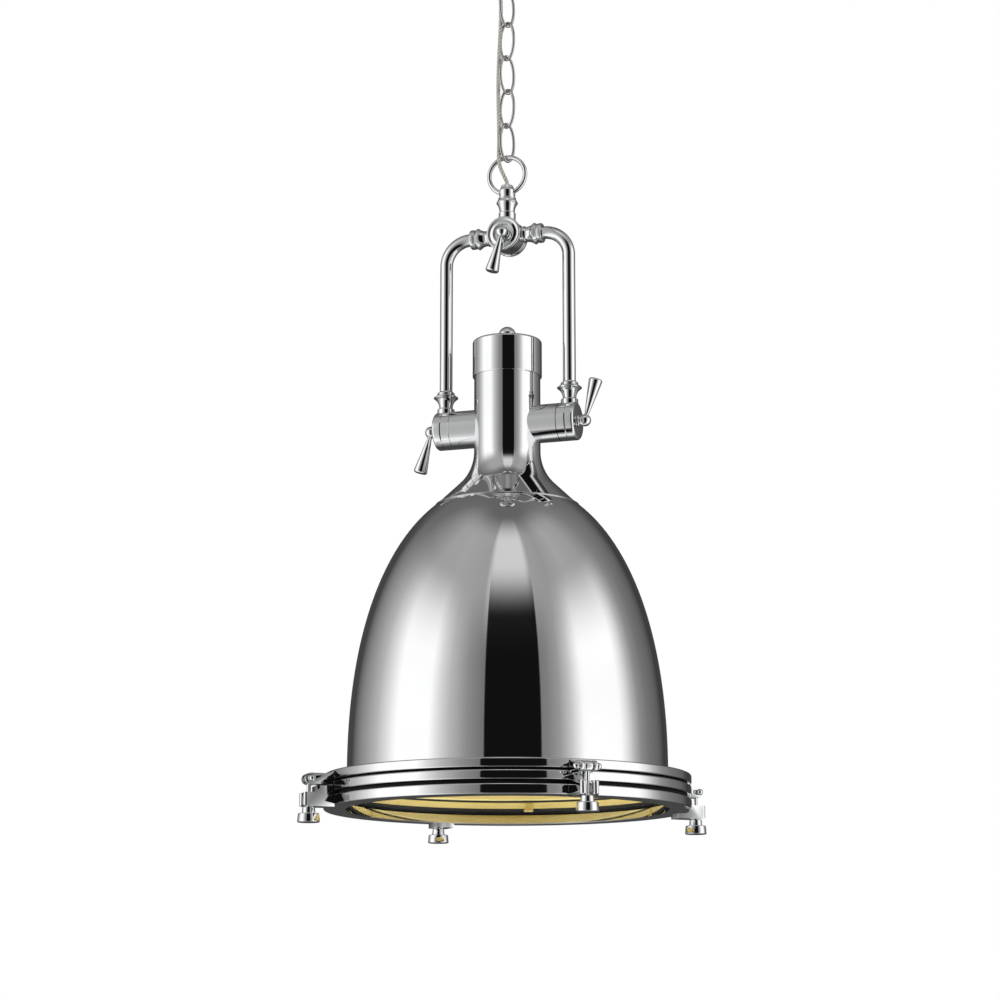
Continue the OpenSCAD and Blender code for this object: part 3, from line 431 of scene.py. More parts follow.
def make_link_group(material):
    group = new_group("chain_link")
    for name in ("Half width", "Half length", "Wire", "Turn", "Height", "Fullness"):
        group_input(group, name)
    given = group.nodes.new("NodeGroupInput").outputs
    circle = add_node(group, "GeometryNodeCurvePrimitiveCircle", {"Resolution": OVAL_POINTS, "Radius": 1})
    split = add_split(group, add_node(group, "GeometryNodeInputPosition"))
    power = add_math(group, "DIVIDE", 2.0, given["Fullness"])

    def pressed(value, half):
        size = add_math(group, "POWER", add_math(group, "ABSOLUTE", value), power)
        sign = add_math(group, "SIGN", value)
        return add_math(group, "MULTIPLY", add_math(group, "MULTIPLY", size, sign), half)

    x, z = pressed(split["X"], given["Half width"]), pressed(split["Y"], given["Half length"])
    place = add_node(group, "ShaderNodeCombineXYZ", {"X": x, "Z": z})
    oval = add_node(group, "GeometryNodeSetPosition", {"Geometry": circle, "Position": place})
    even = add_node(group, "GeometryNodeResampleCurve", {"Curve": oval, "Count": LINK_POINTS})
    radius = add_math(group, "MULTIPLY", given["Wire"], 0.5)
    wire = add_node(group, "GeometryNodeCurvePrimitiveCircle", {"Resolution": WIRE_POINTS, "Radius": radius})
    sweep = add_node(group, "GeometryNodeCurveToMesh", {"Curve": even, "Profile Curve": wire})
    turn = add_node(group, "ShaderNodeCombineXYZ", {"Z": given["Turn"]})
    drop = add_node(group, "ShaderNodeCombineXYZ", {"Z": given["Height"]})
    hung = add_node(group, "GeometryNodeTransform", {"Geometry": sweep, "Rotation": turn, "Translation": drop})
    give(group, add_node(group, "GeometryNodeSetShadeSmooth", {"Geometry": hung}), material)
    return group


# %% Meshes from modifiers
def evaluated(thing):
    """The mesh of an object as its modifiers leave it."""
    bpy.context.view_layer.update()
    depsgraph = bpy.context.evaluated_depsgraph_get()
    return bpy.data.meshes.new_from_object(thing.evaluated_get(depsgraph), depsgraph=depsgraph)


def grown(name, group, values, start=None):
    """Runs a node group once, with inputs set by name, and keeps the result as a plain mesh."""
    seed = show(name + "_seed", start or bpy.data.meshes.new(name + "_seed"))
    modifier = seed.modifiers.new("grow", "NODES")
    modifier.node_group = group
    for socket in group.interface.items_tree:
        if socket.name in values:
            modifier[socket.identifier] = values[socket.name]
    mesh = evaluated(seed)
    bpy.data.objects.remove(seed)
    bm = bmesh.new()
    bm.from_mesh(mesh)
    bmesh.ops.recalc_face_normals(bm, faces=bm.faces)
    bm.to_mesh(mesh)
    bm.free()
    mesh.name = name
    return show(name, mesh)


# %% Chain links
CHAIN_WIRE = 3.0 * MM
LINK_HALF_W = 22.5 / 2 * MM - CHAIN_WIRE / 2
LINK_FULLNESS = 2.05


def make_chain():
    group = make_link_group(NICKEL)
    for k in range(1, LINK_COUNT + 1):
        low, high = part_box(f"chain_link_{k}")
        values = {
            "Half width": LINK_HALF_W, "Half length": (high.z - low.z - CHAIN_WIRE) / 2, "Wire": CHAIN_WIRE,
            "Turn": CHAIN_TURN + pi / 2 * k, "Height": (high.z + low.z) / 2, "Fullness": LINK_FULLNESS,
        }
        stand_for(grown(f"link_{k}_wire", group, values), f"chain_link_{k}")


make_chain()
print("chain:", LINK_COUNT, "links")

# %% [markdown]
# Most of the lamp is turned or spun on a lathe, so one function does the same: it spins an outline about an
# axis. The outlines are those of the part's source, with rounder edges, because mirror-bright metal shows every
# facet. Faces of an outline can take a second finish, such as the gold inside the shade.

# %% Lathe
LATHE_SIDES = 96
AXIS_R, MERGE = 1e-6, 1e-7


def arc(x, y, r, start, end, steps=12):
    return [(x + r * cos(radians(a)), y + r * sin(radians(a)))
            for a in (start + (end - start) * i / steps for i in range(steps + 1))]


def round_wall(r, low, high, soft, steps=12):
    """The outer side of a turned piece, with both of its edges rounded."""
    return arc(r - soft, low + soft, soft, -90, 0, steps) + arc(r - soft, high - soft, soft, 0, 90, steps)


def turned(outline, place=Matrix(), sides=LATHE_SIDES, second=()):
    """Spins a closed outline of (radius, height) in millimetres about Z, then moves it with place."""
    bm = bmesh.new()
    columns = []
    for r, z in outline:
        if r < AXIS_R:
            columns.append([bm.verts.new(place @ Vector((0, 0, z * MM)))])
        else:
            columns.append([
                bm.verts.new(place @ Vector((r * MM * cos(a), r * MM * sin(a), z * MM)))
                for a in (2 * pi * s / sides for s in range(sides))
            ])
    for i, here in enumerate(columns):
        there = columns[(i + 1) % len(columns)]
        if len(here) == len(there) == 1:
            continue
        for s in range(sides):
            n = (s + 1) % sides
            corners = [here[s % len(here)], here[n % len(here)], there[n % len(there)], there[s % len(there)]]
            face = bm.faces.new(list(dict.fromkeys(corners)))
            face.material_index = 1 if i in second else 0
    bmesh.ops.remove_doubles(bm, verts=bm.verts, dist=MERGE)
    bmesh.ops.recalc_face_normals(bm, faces=bm.faces)
    return bm


def placed(name, node, bm, materials):
    return stand_for(finish_piece(name, bm, materials), node)


def spun(name, node, outline, materials, place=Matrix(), sides=LATHE_SIDES, second=()):
    return placed(name, node, turned(outline, place, sides, second), materials)


def along(axis, origin):
    """A placement whose Z runs along axis from origin, given in millimetres."""
    return Matrix.Translation(Vector(origin) * MM) @ Vector(axis).to_track_quat("Z", "Y").to_matrix().to_4x4()


# %% [markdown]
# A few pieces are two turned shapes in one, such as a lever's ball and its handle, or have a hole across them.
# A Boolean modifier joins or cuts them, and its result becomes the mesh.


# %% Joining and cutting
def carved(bm, other, operation):
    """Joins two closed shapes, or cuts the second from the first."""
    holders = []
    for shape in (bm, other):
        mesh = bpy.data.meshes.new("shape")
        shape.to_mesh(mesh)
        shape.free()
        holders.append(show("shape", mesh))
    modifier = holders[0].modifiers.new("join", "BOOLEAN")
    modifier.operation = operation
    modifier.solver = "EXACT"
    modifier.object = holders[1]
    result = bmesh.new()
    result.from_mesh(evaluated(holders[0]))
    for holder in holders:
        bpy.data.objects.remove(holder)
    bmesh.ops.remove_doubles(result, verts=result.verts, dist=MERGE)
    return result


# %% [markdown]
# The bell is a spun sheet. Its outline is a superellipse: a little fuller than an ellipse, upright at the rim and
# leaning in at the seam, where the neck's flare takes over. The sheet is offset square to its surface.

# %% Bell and neck
DOME_Z, SEAM_Z = span("shade_bell")
DOME_R, SEAM_R, DOME_POWER, DOME_WALL = span("shade_bell", "x")[1], 144 / 2, 2.25, 1.5
AXLE_Z = sum(span("trunnion_bosses")) / 2
NECK_R, NECK_WALL, FLARE_DROP, FLARE_R, FLARE_ANGLE = 67 / 2, 2, 26, 47.7, 46.7
SEAM_STEP = 0.4
SEAM_LIP = [(-1.3, 1.1), (-0.2, 0.9), (0.35, 0.7), (0.5, 0.4), (0.3, 0.1), (-0.4, 0)]
FINE_SIDES = 192


def bell_outline(inset, steps=90):
    rise = (SEAM_Z - DOME_Z) / (1 - (SEAM_R / DOME_R) ** DOME_POWER) ** (1 / DOME_POWER)
    end = asin(((SEAM_Z - DOME_Z) / rise) ** (DOME_POWER / 2))
    points = []
    for i in range(steps + 1):
        x = cos(end * i / steps) ** (2 / DOME_POWER)
        y = sin(end * i / steps) ** (2 / DOME_POWER)
        slope = atan2(y ** (DOME_POWER - 1) / rise, x ** (DOME_POWER - 1) / DOME_R)
        points.append((DOME_R * x - inset / cos(slope), DOME_Z + rise * y))
    return points


def flare_outline(inset, steps=40):
    curve = [(NECK_R - inset, span("neck")[1])]
    for i in range(steps + 1):
        a = radians(FLARE_ANGLE * i / steps)
        curve.append((NECK_R + FLARE_R * (1 - cos(a)) - inset / cos(a),
                      AXLE_Z - FLARE_DROP - FLARE_R * sin(a)))
    if inset:
        return curve + [(SEAM_R - SEAM_STEP - inset / cos(radians(FLARE_ANGLE)), SEAM_Z)]
    return curve + [(SEAM_R + across, SEAM_Z + up) for across, up in SEAM_LIP]


def two_sided(outer, inner):
    return outer + inner[::-1], range(len(outer), len(outer) + len(inner) - 1)


outline, inside = two_sided(bell_outline(0), bell_outline(DOME_WALL))
spun("bell_sheet", "shade_bell", outline, [CHROME_SPUN, GOLD], sides=FINE_SIDES, second=inside)
outline, inside = two_sided(flare_outline(0), flare_outline(NECK_WALL))
spun("neck_tube", "neck", outline, [CHROME_SPUN, GOLD], sides=FINE_SIDES, second=inside)
print("bell: rim", round(DOME_R * 2, 1), "mm, seam", SEAM_R * 2, "mm")

# %% [markdown]
# The neck ends in a pressed cap with a turned knob on top, which holds the rod that carries the lampholder.

# %% Cap and finial
CAP_Z, CAP_TOP_Z = span("neck_cap")
CAP_R, CAP_WALL, CAP_ROUND = span("neck_cap", "x")[1], 1.5, 3
FINIAL_R = 17.5 / 2
FINIAL_H = 15
FINIAL_COLLAR = 3


def cap_outline():
    inner, under = CAP_R - CAP_WALL, CAP_TOP_Z - CAP_WALL
    return ([(CAP_R - 0.3, CAP_Z), (CAP_R, CAP_Z + 0.4)]
            + arc(CAP_R - CAP_ROUND, CAP_TOP_Z - CAP_ROUND, CAP_ROUND, 0, 90)
            + [(0, CAP_TOP_Z), (0, under), (inner, under), (inner, CAP_Z)])


def finial_outline():
    centre = FINIAL_H - FINIAL_R
    lean = degrees(asin((centre - FINIAL_COLLAR) / FINIAL_R))
    return ([(0, 0), (FINIAL_R * 0.90, 0)] + arc(FINIAL_R * 0.92 - 0.6, FINIAL_COLLAR - 1.2, 0.6, 0, 90, 6)
            + [(FINIAL_R * 0.8, FINIAL_COLLAR - 0.3)] + arc(0, centre, FINIAL_R, -lean, 90, 40))


spun("cap_shell", "neck_cap", cap_outline(), [CHROME_SPUN], sides=FINE_SIDES)
spun("finial_knob", "finial", finial_outline(), [CHROME], along((0, 0, 1), (0, 0, CAP_TOP_Z)))
print("neck cap:", round(CAP_TOP_Z - CAP_Z, 1), "mm high")

# %% [markdown]
# The rim is three stacked rings with black rubber between them: the flange on the shade, the ring that holds the
# glass down, and the bezel below. The lacquer of the shade runs on over the inner walls of the upper two, down to
# a black band at the foot of the retaining ring. The band is a bead of sealant above the glass, made wide and dark as
# painted shade where shade falls between the rings. The bezel's inner wall is bare chrome and mirrors the gold.

# %% Rim
RIM_R = span("flange_ring", "x")[1]
BAND_ROUND, BAND_SOFT, LIP_SOFT = 1.6, 0.5, 0.8
LIP_R = RIM_R - 22
RETAINER_R = LIP_R + 4
GROOVE_R = RIM_R - 4
FLANGE_IN_R = DOME_R - DOME_WALL - 1.5
RING_SIDES = 256
# Share of each band's inner wall at its foot. On the retaining ring this is the black band: sealant and painted shade.
FOOT_SHARE = 0.3


def make_band(name, node, r_in, low_finish):
    """Its inner wall is lacquered, and the foot of the wall, with the ledge under it, takes a finish of its own: on the
    retaining ring a black band that is sealant and painted shade.
    """
    low, high = span(node)
    foot = low + FOOT_SHARE * (high - low)
    outline = ([(r_in + BAND_SOFT, low), (GROOVE_R - 2, low)] + round_wall(RIM_R, low, high, BAND_ROUND)
               + [(r_in + BAND_SOFT, high), (r_in, high - BAND_SOFT), (r_in, foot), (r_in, low + BAND_SOFT)])
    bm = turned(outline, sides=RING_SIDES, second=[0, *range(len(outline) - 4, len(outline))])
    for face in bm.faces:
        if face.material_index and face.calc_center_median().z < foot * MM:
            face.material_index = 2
    placed(name, node, bm, [CHROME_SPUN, GOLD, low_finish])


def make_bezel():
    low, high = span("bezel_ring")
    seat = span("lens_seal")[0]
    outline = ([(LIP_R + LIP_SOFT, low)] + round_wall(RIM_R, low, high, BAND_ROUND)
               + [(GROOVE_R + 0.1, high), (GROOVE_R + 0.1, seat), (LIP_R, seat), (LIP_R, low + LIP_SOFT)])
    spun("bezel_band", "bezel_ring", outline, [CHROME_SPUN], sides=RING_SIDES)


make_band("flange_band", "flange_ring", FLANGE_IN_R, GOLD)
# The retaining ring's foot is black: a sealant bead that is also painted shade between the rings.
make_band("retaining_band", "retaining_ring", RETAINER_R, RUBBER_AND_SHADE)
make_bezel()
print("rim:", round(RIM_R * 2, 1), "mm across")


# %% Seals and glass
def make_seals():
    low, high = span("rim_gasket")
    bulge = arc(GROOVE_R - 1, (low + high) / 2, 1, -90, 90, 8)
    inner = RETAINER_R + 2
    spun("gasket_cord", "rim_gasket", [(inner, low), *bulge, (inner, high)], [RUBBER_AND_SHADE], sides=RING_SIDES)
    low, high = span("lens_seal")
    glass_low, glass_high = span("lens")
    slot = GROOVE_R - 0.8
    outline = [(RETAINER_R + 0.4, low), (GROOVE_R - 0.5, low), (GROOVE_R, low + 0.5), (GROOVE_R, high - 0.5),
               (GROOVE_R - 0.5, high), (RETAINER_R + 0.4, high), (RETAINER_R, high - 0.4), (RETAINER_R, glass_high),
               (slot, glass_high), (slot, glass_low), (RETAINER_R, glass_low), (RETAINER_R, low + 0.4)]
    spun("lens_channel", "lens_seal", outline, [RUBBER_AND_SHADE], sides=RING_SIDES)


def make_lens():
    low, high = span("lens")
    r = span("lens", "x")[1]
    outline = [(0, low), (r * 0.5, low), (r - 0.4, low), (r, low + 0.4), (r, high - 0.4), (r - 0.4, high),
               (r * 0.5, high), (0, high)]
    spun("lens_pane", "lens", outline, [PANE], sides=RING_SIDES)


make_seals()
make_lens()
print("glass:", round(span("lens", "x")[1] * 2, 1), "mm across")

# %% [markdown]
# Above the neck sits the yoke. Its hub is a short drum between two turned faces, with a stem on top for the ring
# and a socket on each side for the arms. Every socket and ferrule has the same sharp ridge, which catches a fine
# line of light.

# %% Hub
HUB_Z = sum(span("hub_body")) / 2
HUB_R, HUB_L, FACE_R, FACE_T = 34 / 2, 19, 36 / 2, 4
FACE_DISH = 0.72 * FACE_T
RIDGE_R, RIDGE_LAND = 22 / 2, 0.8
STEM_R, STEM_FOOT, RIDGE_RISE = 17.5 / 2, span("hub_stem")[0], 35.5
SCREW_R, BUSH_R, HUB_SOFT = 8 / 2, 11 / 2, 0.6
RING_WIRE = 4.6
RING_Z = sum(span("hanging_ring")) / 2
RING_R = (span("hanging_ring")[1] - span("hanging_ring")[0] - RING_WIRE) / 2


def cove(r_from, low, r_to, high, steps=12):
    """A hollow curve that leaves one point straight up and ends in another, further out."""
    out, up = r_to - r_from, high - low
    r = (up * up + out * out) / (2 * out)
    turn = atan2(up, r - out)
    return [(r_from + r * (1 - cos(a)), low + r * sin(a))
            for a in (turn * i / steps for i in range(steps + 1))]


def ridge(r, at, foot_r, foot, far_r, far):
    """A sharp turned ridge: a cove up to it, a narrow land and a short slope down."""
    half = RIDGE_LAND / 2
    return cove(foot_r, foot, r - half, at - RIDGE_LAND) + [(r, at - half), (r, at + half), (far_r, far)]


print("hub at", round(HUB_Z, 1), "mm")


# %% Stem
def stem_outline(eye, top):
    peak = HUB_Z + RIDGE_RISE
    shoulder = eye + (top - eye) / 4
    foot = STEM_FOOT
    return ([(0, foot), (STEM_R, foot)] + arc(STEM_R - 1, foot + 10, 1, 0, 80, 8)
            + ridge(RIDGE_R, peak, STEM_R - 0.9, foot + 11.6, STEM_R + 0.7, peak + 3.4)
            + [(STEM_R - 0.3, peak + 3.8), (STEM_R - 0.3, peak + 4.3), (STEM_R + 0.3, peak + 4.7),
               (STEM_R + 0.3, peak + 5.3), (STEM_R - 0.5, peak + 5.8), (STEM_R - 0.6, eye - (top - eye) / 3),
               (STEM_R, eye - 0.6), (STEM_R, eye)]
            + arc(STEM_R - 3.1, shoulder, 3, 0, 60) + [(BUSH_R + 0.8, top), (0, top)])


def make_stem():
    eye = RING_Z - RING_R
    reach = STEM_R + 1
    room = RING_R - RING_WIRE / 2 - 0.3
    edge = degrees(asin(reach / room))
    passage = [(0, -reach)] + arc(RING_R, 0, room, 180 + edge, 180 - edge, 24) + [(0, reach)]
    body = turned(stem_outline(eye, span("hub_stem")[1]))
    hole = turned(passage, along((1, 0, 0), (0, 0, eye)))
    placed("stem_post", "hub_stem", carved(body, hole, "DIFFERENCE"), [CHROME])


make_stem()
print("stem:", round(STEM_R * 2, 1), "mm thick")


# %% Drum, faces and ring
def face_outline(bore, middle):
    """A broad rounded ring about a middle, which is given as shares of the radius and drops from the ring."""
    ring = [(bore, 0), (FACE_R - 0.6, 0), (FACE_R, 0.6)] + arc(FACE_R - 1.2, FACE_T - 1.2, 1.2, 0, 90)
    return ring + [(FACE_R * share, FACE_T - drop) for share, drop in middle] + [(bore, FACE_T - middle[-1][1])]


def make_faces():
    front = [(0.84, 0.02), (0.815, 0.3), (0.80, 0.8), (0.785, 0.9), (0.74, 0.68), (0.69, 0.4), (0.64, 0.15),
             (0.61, 0.08), (0.585, 0.15), (0.565, 0.4), (0.55, 1.0), (0.535, 1.9), (0.52, FACE_DISH)]
    spun("front_face", "hub_front_face", face_outline(SCREW_R + 0.1, front), [CHROME],
         along((0, -1, 0), (0, -HUB_L / 2, HUB_Z)))
    place = along((0, 1, 0), (0, HUB_L / 2, HUB_Z))
    rear = [(0.74, 0), (0.70, 1.2), (0.60, 1.2), (0.52, 0)]
    recess = [(0, FACE_T / 2), (SCREW_R * 1.1, FACE_T / 2), (SCREW_R * 1.1, FACE_T * 2), (0, FACE_T * 2)]
    face = carved(turned(face_outline(SCREW_R / 2, rear), place), turned(recess, place, sides=6), "DIFFERENCE")
    placed("rear_face", "hub_rear_face", face, [CHROME])


drum = [(0, 0), (HUB_R - HUB_SOFT, 0)] + round_wall(HUB_R, 0, HUB_L, HUB_SOFT, 4) + [(0, HUB_L)]
spun("hub_drum", "hub_body", drum, [CHROME], along((0, -1, 0), (0, HUB_L / 2, HUB_Z)))
make_faces()
spun("ring_wire", "hanging_ring", arc(RING_R, 0, RING_WIRE / 2, 0, 345, 23), [CHROME],
     along((0, 1, 0), (0, 0, RING_Z)), sides=128)
print("ring:", round(RING_R * 2 + RING_WIRE, 1), "mm across")

# %% [markdown]
# Each arm is one bent tube that sits in a socket on the hub and ends in a ferrule. The socket and the ferrule are
# turned. The tube follows a path: straight out, a quarter bend and straight down.

# %% Sockets, arms and ferrules
ARM_X, TUBE_R, BEND_R, SOCKET_REACH, FERRULE_H, TUBE_GRIP = 66, 13 / 2, 26, 38.7, 24, 9.6
SOCKET_WAIST = 15.6 / 2
FERRULE_BASE, FERRULE_WAIST, FERRULE_RIDGE = 17.6 / 2, 13.8 / 2, 25 / 2
BEND_STEPS = 28
SIDES = (("left", -1), ("right", 1))


def socket_outline(start):
    peak = SOCKET_REACH - 8.4
    collar = RIDGE_R - 0.9
    base = HUB_R + 0.8
    waist = SOCKET_WAIST
    return ([(0, start), (waist, start), (waist, base), (waist + 0.7, base + 0.2), (waist + 0.9, base + 0.6),
             (waist + 0.9, base + 1.8), (waist + 0.6, base + 2.4), (waist, base + 3.4)]
            + ridge(RIDGE_R, peak, waist, base + 3.8, collar - 0.7, peak + 2.8)
            + [(collar - 1.2, peak + 3)] + arc(collar - 1.2, peak + 4.6, 1.2, -90, 0, 6)
            + arc(collar - 1.2, SOCKET_REACH - 1.2, 1.2, 0, 90, 6) + [(TUBE_R - 0.5, SOCKET_REACH), (0, SOCKET_REACH)])


def ferrule_outline():
    peak = FERRULE_H - 6.4
    lip = TUBE_R + 2
    waist, bead = FERRULE_WAIST, FERRULE_H * 0.2
    return ([(0, 0), (FERRULE_BASE, 0)] + arc(FERRULE_BASE - 1, bead, 1, 0, 90, 8) + [(waist, bead + 1.8)]
            + ridge(FERRULE_RIDGE, peak, waist, bead + 2.6, lip + 1.2, peak + 2.4)
            + [(lip, peak + 2.8), (lip, peak + 3.2)] + arc(lip - 0.6, peak + 4.4, 1, -60, 60, 8)
            + [(TUBE_R + 0.4, FERRULE_H), (0, FERRULE_H)])


def arm_path(side, foot_z):
    bend_x, bend_z = ARM_X - BEND_R, HUB_Z - BEND_R
    path = [(SOCKET_REACH - TUBE_GRIP, HUB_Z)]
    path += [(bend_x + BEND_R * sin(a), bend_z + BEND_R * cos(a))
             for a in (pi / 2 * i / BEND_STEPS for i in range(BEND_STEPS + 1))]
    path += [(ARM_X, bend_z + (foot_z - bend_z) * i / 6) for i in range(1, 7)]
    return [Vector((side * x, 0, z)) * MM for x, z in path]


def make_arm(word, side):
    spun(f"{word}_socket", f"socket_{word}", socket_outline(span("socket_right", "x")[0]), [CHROME],
         along((side, 0, 0), (0, 0, HUB_Z)))
    low = span(f"ferrule_{word}")[0]
    spun(f"{word}_ferrule", f"ferrule_{word}", ferrule_outline(), [CHROME], along((0, 0, 1), (side * ARM_X, 0, low)))
    stand_for(tube(f"{word}_arm_tube", arm_path(side, low + FERRULE_H - TUBE_GRIP), TUBE_R * 2 * MM, CHROME, sides=48),
              f"arm_{word}")


for word, side in SIDES:
    make_arm(word, side)
print("arms:", ARM_X * 2, "mm apart")

# %% [markdown]
# Each arm ends in a knuckle that turns on a spigot of the boss behind it. A lever screws through the knuckle and
# clamps it: a ball on a small foot, with a handle that thickens towards its end.

# %% Knuckles
TRUNNION_R, KNUCKLE_W, SPIGOT_R, SPIGOT_L = 38.8 / 2, 18, 16 / 2, 8


def knuckle_outline():
    r, groove = TRUNNION_R, KNUCKLE_W / 2
    return ([(SPIGOT_R + 0.1, 0), (r - 0.3, 0), (r, 0.3), (r, groove - 0.6), (r - 0.5, groove - 0.4), (r - 0.7, groove),
             (r - 0.5, groove + 0.4), (r, groove + 0.6)]
            + arc(r - 2.6, KNUCKLE_W - 2.6, 2.6, 0, 90, 14)
            + [(SCREW_R + 0.1, KNUCKLE_W), (SCREW_R + 0.1, SPIGOT_L + 1), (SPIGOT_R + 0.1, SPIGOT_L + 1)])


for word, side in SIDES:
    spun(f"{word}_knuckle", f"knuckle_{word}", knuckle_outline(), [CHROME],
         along((side, 0, 0), (side * (ARM_X - KNUCKLE_W / 2), 0, AXLE_Z)), sides=144)
print("knuckles:", KNUCKLE_W, "mm wide")

# %% Levers
BALL_R, LEVER_L, LEVER_END_R, LEVER_ROOT_R, LEVER_ROUND = 12.4 / 2, 43.5, 14 / 2, 4.6 / 2, 2.4
BALL_RISE = BALL_R + 0.8
SIDE_LEAN, HUB_LEAN, HUB_LEVER_TURN = 16, 3, 13
FOOT_GAP = 0.3


def ball_outline(screw_l):
    neck = BALL_R * 0.68
    lean = degrees(acos(neck / BALL_R))
    return ([(0, -screw_l), (SCREW_R - 0.5, -screw_l), (SCREW_R, 0.5 - screw_l), (SCREW_R, FOOT_GAP),
             (BALL_R - 0.4, FOOT_GAP), (BALL_R, FOOT_GAP + 0.4), (BALL_R, FOOT_GAP + 1.2),
             (BALL_R - 0.4, FOOT_GAP + 1.6), (BALL_R * 0.84, FOOT_GAP + 1.7)]
            + arc(0, BALL_RISE, BALL_R, -lean, 90, 36))


def handle_outline():
    return ([(0, 2), (LEVER_ROOT_R, 2), (LEVER_ROOT_R, BALL_R + 0.6)]
            + arc(LEVER_END_R - LEVER_ROUND, LEVER_L - LEVER_ROUND, LEVER_ROUND, 7, 90, 12) + [(0, LEVER_L)])


def make_lever(name, node, place, screw_l, lean):
    """The screw runs down the placement's -Z, and the handle leans out over its +X."""
    centre = place @ Matrix.Translation((0, 0, BALL_RISE * MM))
    aim = centre @ Matrix.Rotation(radians(90 - lean), 4, "Y")
    lever = carved(turned(ball_outline(screw_l), place, 64), turned(handle_outline(), aim, 64), "UNION")
    placed(name, node, lever, [CHROME])


def facing(axis, up, origin):
    """A placement with Z along axis and X along up."""
    z, x = Vector(axis), Vector(up)
    turn = Matrix((x, z.cross(x), z)).transposed().to_4x4()
    return Matrix.Translation(Vector(origin) * MM) @ turn


down = Vector((-sin(radians(HUB_LEVER_TURN)), 0, -cos(radians(HUB_LEVER_TURN))))
seat = HUB_L / 2 + FACE_T - FACE_DISH
make_lever("hub_clamp_lever", "hub_lever", facing((0, -1, 0), down, (0, -seat, HUB_Z)), seat - 2, HUB_LEAN)
for word, side in SIDES:
    place = facing((side, 0, 0), (0, 0, side), (side * (ARM_X + KNUCKLE_W / 2), 0, AXLE_Z))
    make_lever(f"{word}_clamp_lever", f"{word}_lever", place, KNUCKLE_W - 4, SIDE_LEAN)
print("levers: 3, each", LEVER_L, "mm long")

# %% [markdown]
# Four swing bolts hold the bezel up. On each the bolt's eye hangs on a pin between two ears, its shank lies in a
# forked lug and a thumb nut pulls it tight. The pins repeat round the rim on one body, so a node group copies one
# pin round the axis. Bolts and nuts move on their own, so each is turned in its own place.

# %% Clamp sizes
CLAMP_COUNT, CLAMP_TURN = 4, radians(-50)
CLAMP_R = RIM_R + 22.5
PIN_R, PIN_HEAD, PIN_HALF = 4.6 / 2, 6.6 / 2, (9.4 + 0.6 + 2 * 3.2 + 0.2) / 2
PIN_Z = sum(span("hinge_pins")) / 2
BOLT_R, EYE_R, EYE_T, EYE_SOFT = 4.2 / 2, 10.6 / 2, 9.4, 2.6
NUT_NECK_R, NUT_NECK_H, NUT_FLANGE_R, NUT_FLANGE_H = 13 / 2, 6, 21.6 / 2, 8.6


def at_clamp(i, axis, z):
    """A placement on one clamp: its Z runs along axis, from the bolt's line at a height in millimetres."""
    turn = Matrix.Rotation(CLAMP_TURN + 2 * pi * i / CLAMP_COUNT, 4, "Z")
    return turn @ along(axis, (CLAMP_R, 0, z))


def pin_outline():
    meet = degrees(acos(PIN_R / PIN_HEAD))
    centre = PIN_HALF + PIN_HEAD * sin(radians(meet))
    return arc(0, -centre, PIN_HEAD, -90, meet, 16) + arc(0, centre, PIN_HEAD, -meet, 90, 16)


print("clamps:", CLAMP_COUNT, "on a circle of", round(CLAMP_R * 2, 1), "mm")


# %% Node group for copies round the axis
def make_round_group(material):
    group = new_group("copies_round_axis")
    group_input(group, "Geometry", "Geometry")
    group_input(group, "Count", "Int")
    given = group.nodes.new("NodeGroupInput").outputs
    row = add_node(group, "GeometryNodeMeshLine", {"Count": given["Count"], "Offset": (0, 0, 0)})
    step = add_math(group, "DIVIDE", 2 * pi, given["Count"])
    angle = add_math(group, "MULTIPLY", add_node(group, "GeometryNodeInputIndex"), step)
    turn = add_node(group, "ShaderNodeCombineXYZ", {"Z": angle})
    inputs = {"Points": row, "Instance": given["Geometry"], "Rotation": turn}
    give(group, add_node(group, "GeometryNodeInstanceOnPoints", inputs), material)
    return group


def round_the_rim(name, node, bm, material):
    start = finish_piece(name + "_first", bm, [material])
    mesh = start.data
    bpy.data.objects.remove(start)
    return stand_for(grown(name, make_round_group(material), {"Count": CLAMP_COUNT}, mesh), node)


round_the_rim("pivot_pins", "hinge_pins", turned(pin_outline(), at_clamp(0, (0, 1, 0), PIN_Z), 48), CHROME)
print("pins:", CLAMP_COUNT)


# %% Swing bolts and thumb nuts
def eye_outline():
    half = EYE_T / 2
    return [(0, -half)] + round_wall(EYE_R, -half, half, EYE_SOFT, 10) + [(0, half)]


def nut_outline():
    height = NUT_NECK_H + NUT_FLANGE_H
    bore = BOLT_R + 0.1
    return ([(0, 0)] + arc(NUT_FLANGE_R - 1, 1, 1, -90, 0, 8) + arc(NUT_FLANGE_R - 1.6, NUT_FLANGE_H - 1, 1, 10, 90, 8)
            + [(NUT_NECK_R, NUT_FLANGE_H + 0.4), (NUT_NECK_R - 0.4, height - 0.6), (NUT_NECK_R - 1, height),
               (bore, height), (bore, 3), (0, 3)])


def make_bolt(i):
    bolt_node, nut_node = f"swing_bolt_{i + 1}", f"thumb_nut_{i + 1}"
    end, neck = span(bolt_node)[0], PIN_Z - EYE_R
    shank = [(0, end), (BOLT_R - 0.5, end), (BOLT_R, end + 0.5), (BOLT_R, neck + 0.6), (BOLT_R + 0.8, neck + 1.6),
             (BOLT_R + 0.8, PIN_Z), (0, PIN_Z)]
    eye = turned(eye_outline(), at_clamp(i, (0, 1, 0), PIN_Z), 64)
    bolt = carved(eye, turned(shank, at_clamp(i, (0, 0, 1), 0), 32), "UNION")
    placed(f"bolt_{i + 1}_eye_and_shank", bolt_node, bolt, [CHROME])
    place = at_clamp(i, (0, 0, 1), span(nut_node)[0])
    spun(f"nut_{i + 1}_turned", nut_node, nut_outline(), [CHROME], place, 72)


